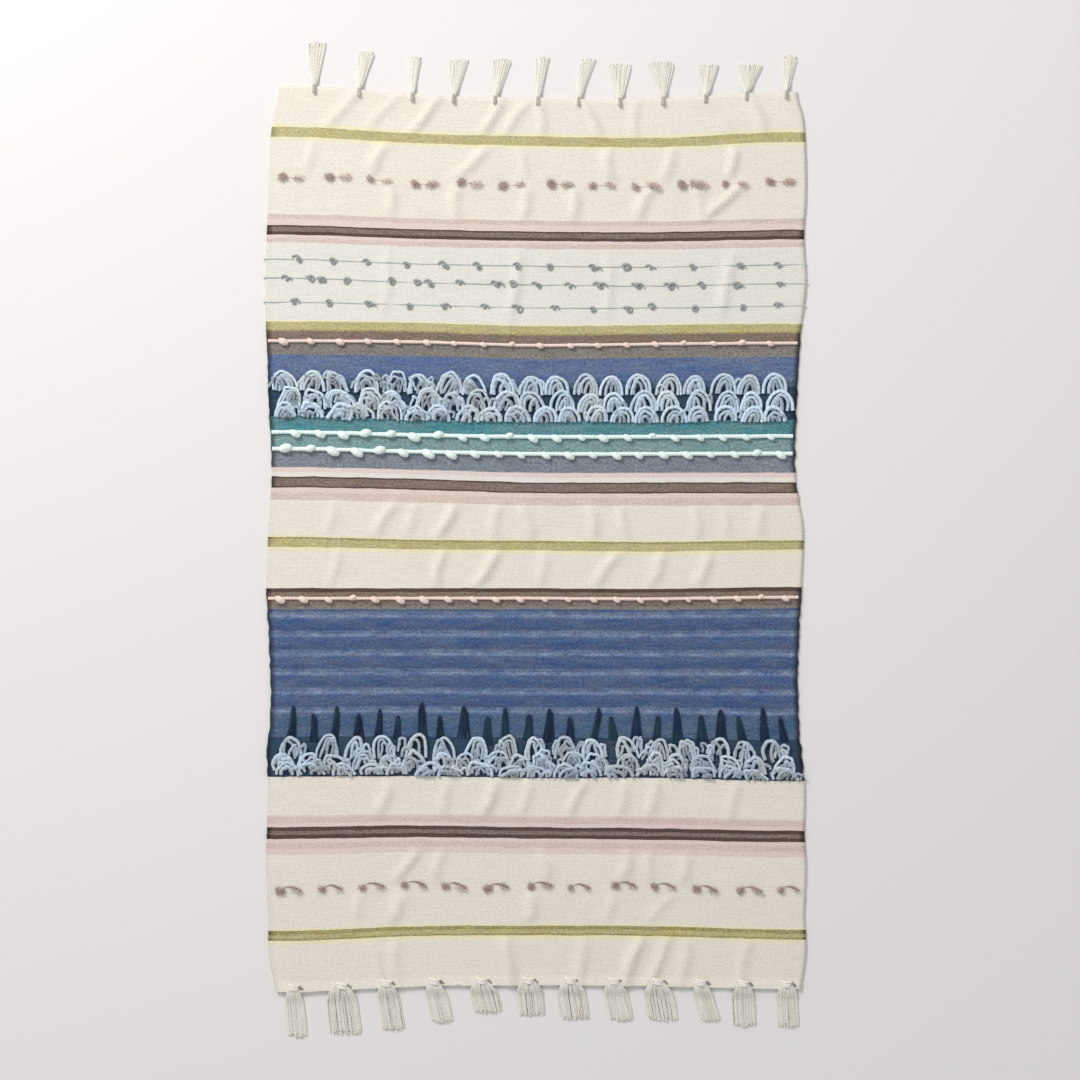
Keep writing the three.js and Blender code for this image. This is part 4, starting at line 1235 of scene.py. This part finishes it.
def tassel_lines(tassel, end, props, chance):
    """One tassel: yarns that come up through the cloth, pass under a hitch and fan out on the floor."""
    across, reach, lean, spread = tassel
    base = point(across, end * HALF_LENGTH, 0.0)
    radius = props.yarn / 2
    inward = props.inward / MM
    neck = 3.2 if end > 0 else max(spread * 0.4, 8.0)
    hem = 0.0 if end > 0 else 2.6

    def at(aside, out, z):
        return base + Vector((aside * MM, out * end * MM, z * MM))

    lines = []
    for k in range(props.yarns):
        lane = (k + 0.5) / props.yarns * 2.0 - 1.0
        lane += chance.uniform(-0.1, 0.1)
        layer = chance.uniform(0.0, 1.0)
        tip = reach * chance.uniform(0.88, 1.0) - 2.0 * abs(lane)
        bend = chance.uniform(-2.0, 2.0)
        wobble = chance.uniform(0.0, 20.0)
        shade = chance.uniform(0.9, 1.03)
        steps = []
        for s in range(TASSEL_BENDS + 1):
            out = -inward + (tip + inward) * s / TASSEL_BENDS
            fan = ramp_up(-4.0, reach * 0.3, out) if end < 0 else min(max(out / reach, 0.0), 1.0) ** 0.8
            narrow = neck * (0.6 + 0.4 * ramp_up(-inward, 6.0, out))
            aside = lane * (narrow + (spread / 2 - narrow) * fan)
            aside += lean * max(out, 0.0) / reach + bend * fan * fan
            aside += 1.2 * fan * noise.noise(Vector((out * 0.05, wobble, 0.0)))
            on_cloth = 4.4 + hem + 3.4 * layer * math.cos(lane * 1.3)
            on_floor = radius / MM + 4.0 * layer * math.cos(lane * 1.2) * (1.0 - 0.35 * fan)
            z = on_cloth + (on_floor - on_cloth) * ramp_up(2.0, 20.0, out)
            steps.append((at(aside, out, z), radius))
        lines.append((steps, shade))

    # At the top end a short dark piece of yarn lies on the root: painted shade of the slit the yarns come
    # through.
    if end > 0:
        for k in range(3):
            aside = 1.3 * (k - 1)
            slit_shade = [
                (at(aside * (1.3 - 0.1 * s), -inward - 1.0 + 3.4 * s, 9.2 - 0.3 * s), (1.7 - 0.2 * s) * MM)
                for s in range(5)]
            lines.append((slit_shade, chance.uniform(0.5, 0.66)))
        return lines

    # At the bottom end a short, thick hitch wraps them; beside it a dark piece of yarn is painted shade in
    # the hole.
    for k in range(3):
        out = -inward - 1.0 + k * 3.4
        steps = []
        for s in range(9):
            angle = math.pi * s / 8
            z = 2.6 + hem + 7.0 * math.sin(angle)
            steps.append((at((8.6 - 0.6 * k) * math.cos(angle), out + 1.5 * math.cos(angle), z), 2.0 * MM))
        # The hitch is painted a little lighter than the tassel's yarns, a painted highlight.
        lines.append((steps, 1.12))
    hole_shade = [
        (at(8.8 + 1.8 * s, 1.0 - inward + 1.2 * s, 7.4 - 0.3 * s), (3.1 - 0.3 * s) * MM) for s in range(5)]
    lines.append((hole_shade, 0.38))
    return lines


class RUG_OT_tassels(bpy.types.Operator):
    """Hitch a row of tassels through each end"""

    bl_idname = "rug.tassels"
    bl_label = "Tassels"

    def execute(self, context):
        props = context.scene.rug_tassels
        # Undyed spun yarn, a touch cooler and lighter than the cloth
        material = yarn_material("undyed_tassel_yarn", props.undyed, groove_shade_share=0.04, ply_pitch=4.0)
        for label, end, rows in (("top", 1, TOP_TASSELS), ("bottom", -1, BOTTOM_TASSELS)):
            for i, tassel in enumerate(rows):
                node = f"tassel_{label}_{i + 1:02d}"
                chance = random.Random(500 + i + 50 * end)
                piece = sweep(node + "_yarns", tassel_lines(tassel, end, props, chance), 5, material)
                finish_piece(piece, "tassels", node)
        return {"FINISHED"}


def aim(thing, target):
    """Turns a light or a camera to look at a point."""
    thing.rotation_euler = (Vector(target) - thing.location).to_track_quat("-Z", "Y").to_euler()


class RUG_OT_stage(bpy.types.Operator):
    """Lay the pale floor and set the light and the camera"""

    bl_idname = "rug.stage"
    bl_label = "Stage"

    def execute(self, context):
        props = context.scene.rug_stage
        scene = context.scene
        half = props.floor_size / 2
        mesh = bpy.data.meshes.new("floor")
        corners = [(-half, -half, 0), (half, -half, 0), (half, half, 0), (-half, half, 0)]
        mesh.from_pydata(corners, [], [(0, 1, 2, 3)])
        floor = put("floor", mesh)
        # Smooth pale plaster, matt, so the rug's soft shadow shows
        material, tree = new_material("pale_plaster_floor")
        shader = add(tree, "ShaderNodeBsdfPrincipled", {
            "Base Color": (*props.floor, 1.0), "Roughness": 0.9, "Specular IOR Level": 0.2})
        add(tree, "ShaderNodeOutputMaterial", {0: shader})
        mesh.materials.append(material)

        world = bpy.data.worlds.new("pale_room")
        world.use_nodes = True
        background = world.node_tree.nodes["Background"]
        background.inputs[0].default_value = (1.0, 0.995, 0.99, 1.0)
        background.inputs[1].default_value = props.sky
        scene.world = world
        key = bpy.data.lights.new("window_light", "AREA")
        key.shape = "DISK"
        key.size = KEY_SIZE
        key.energy = props.key_power
        key.color = (1.0, 0.985, 0.965)
        lamp = put("window_light", key)
        lamp.location = KEY_PLACE
        aim(lamp, KEY_AIM)

        data = bpy.data.cameras.new("camera")
        data.sensor_width = SENSOR_WIDTH
        data.lens = SENSOR_WIDTH * CAMERA_HEIGHT / FRAME_WIDTH
        # With no turn, a camera looks straight down.
        camera = put("camera", data)
        camera.location = (
            (FRAME_MIDDLE[0] + SHIFT[0]) * MM, (FRAME_MIDDLE[1] + SHIFT[1]) * MM, CAMERA_HEIGHT)
        scene.camera = camera
        scene.view_settings.view_transform = "Standard"
        return {"FINISHED"}


STEPS = (
    RUG_OT_stage, RUG_OT_cloth, RUG_OT_pale_loops, RUG_OT_navy_loops, RUG_OT_knot_cords, RUG_OT_curl_yarns,
    RUG_OT_tuft_yarns, RUG_OT_tassels,
)


class RUG_PT_panel(bpy.types.Panel):
    """The rug's pieces and settings"""

    bl_label = "Wool Rug"
    bl_idname = "RUG_PT_panel"
    bl_space_type = "VIEW_3D"
    bl_region_type = "UI"
    bl_category = "Rug"

    def draw(self, context):
        layout = self.layout
        for step in STEPS:
            layout.operator(step.bl_idname)
        for group in (context.scene.rug_cloth, context.scene.rug_yarns, context.scene.rug_tassels,
                      context.scene.rug_stage):
            box = layout.box()
            for key in group.__annotations__:
                box.prop(group, key)


SETTINGS = {
    "rug_cloth": RugClothSettings,
    "rug_yarns": RugYarnSettings,
    "rug_tassels": RugTasselSettings,
    "rug_stage": RugStageSettings,
}


def register():
    for group in SETTINGS.values():
        bpy.utils.register_class(group)
    for name, group in SETTINGS.items():
        setattr(bpy.types.Scene, name, PointerProperty(type=group))
    for step in STEPS:
        bpy.utils.register_class(step)
    bpy.utils.register_class(RUG_PT_panel)


def unregister():
    bpy.utils.unregister_class(RUG_PT_panel)
    for step in reversed(STEPS):
        bpy.utils.unregister_class(step)
    for name in SETTINGS:
        delattr(bpy.types.Scene, name)
    for group in reversed(SETTINGS.values()):
        bpy.utils.unregister_class(group)


def main():
    register()
    TREES["yarn"] = yarn_tree()
    TREES["tuft"] = tuft_tree()
    for step in STEPS:
        group, action = step.bl_idname.split(".")
        getattr(getattr(bpy.ops, group), action)()


if __name__ == "__main__":
    main()
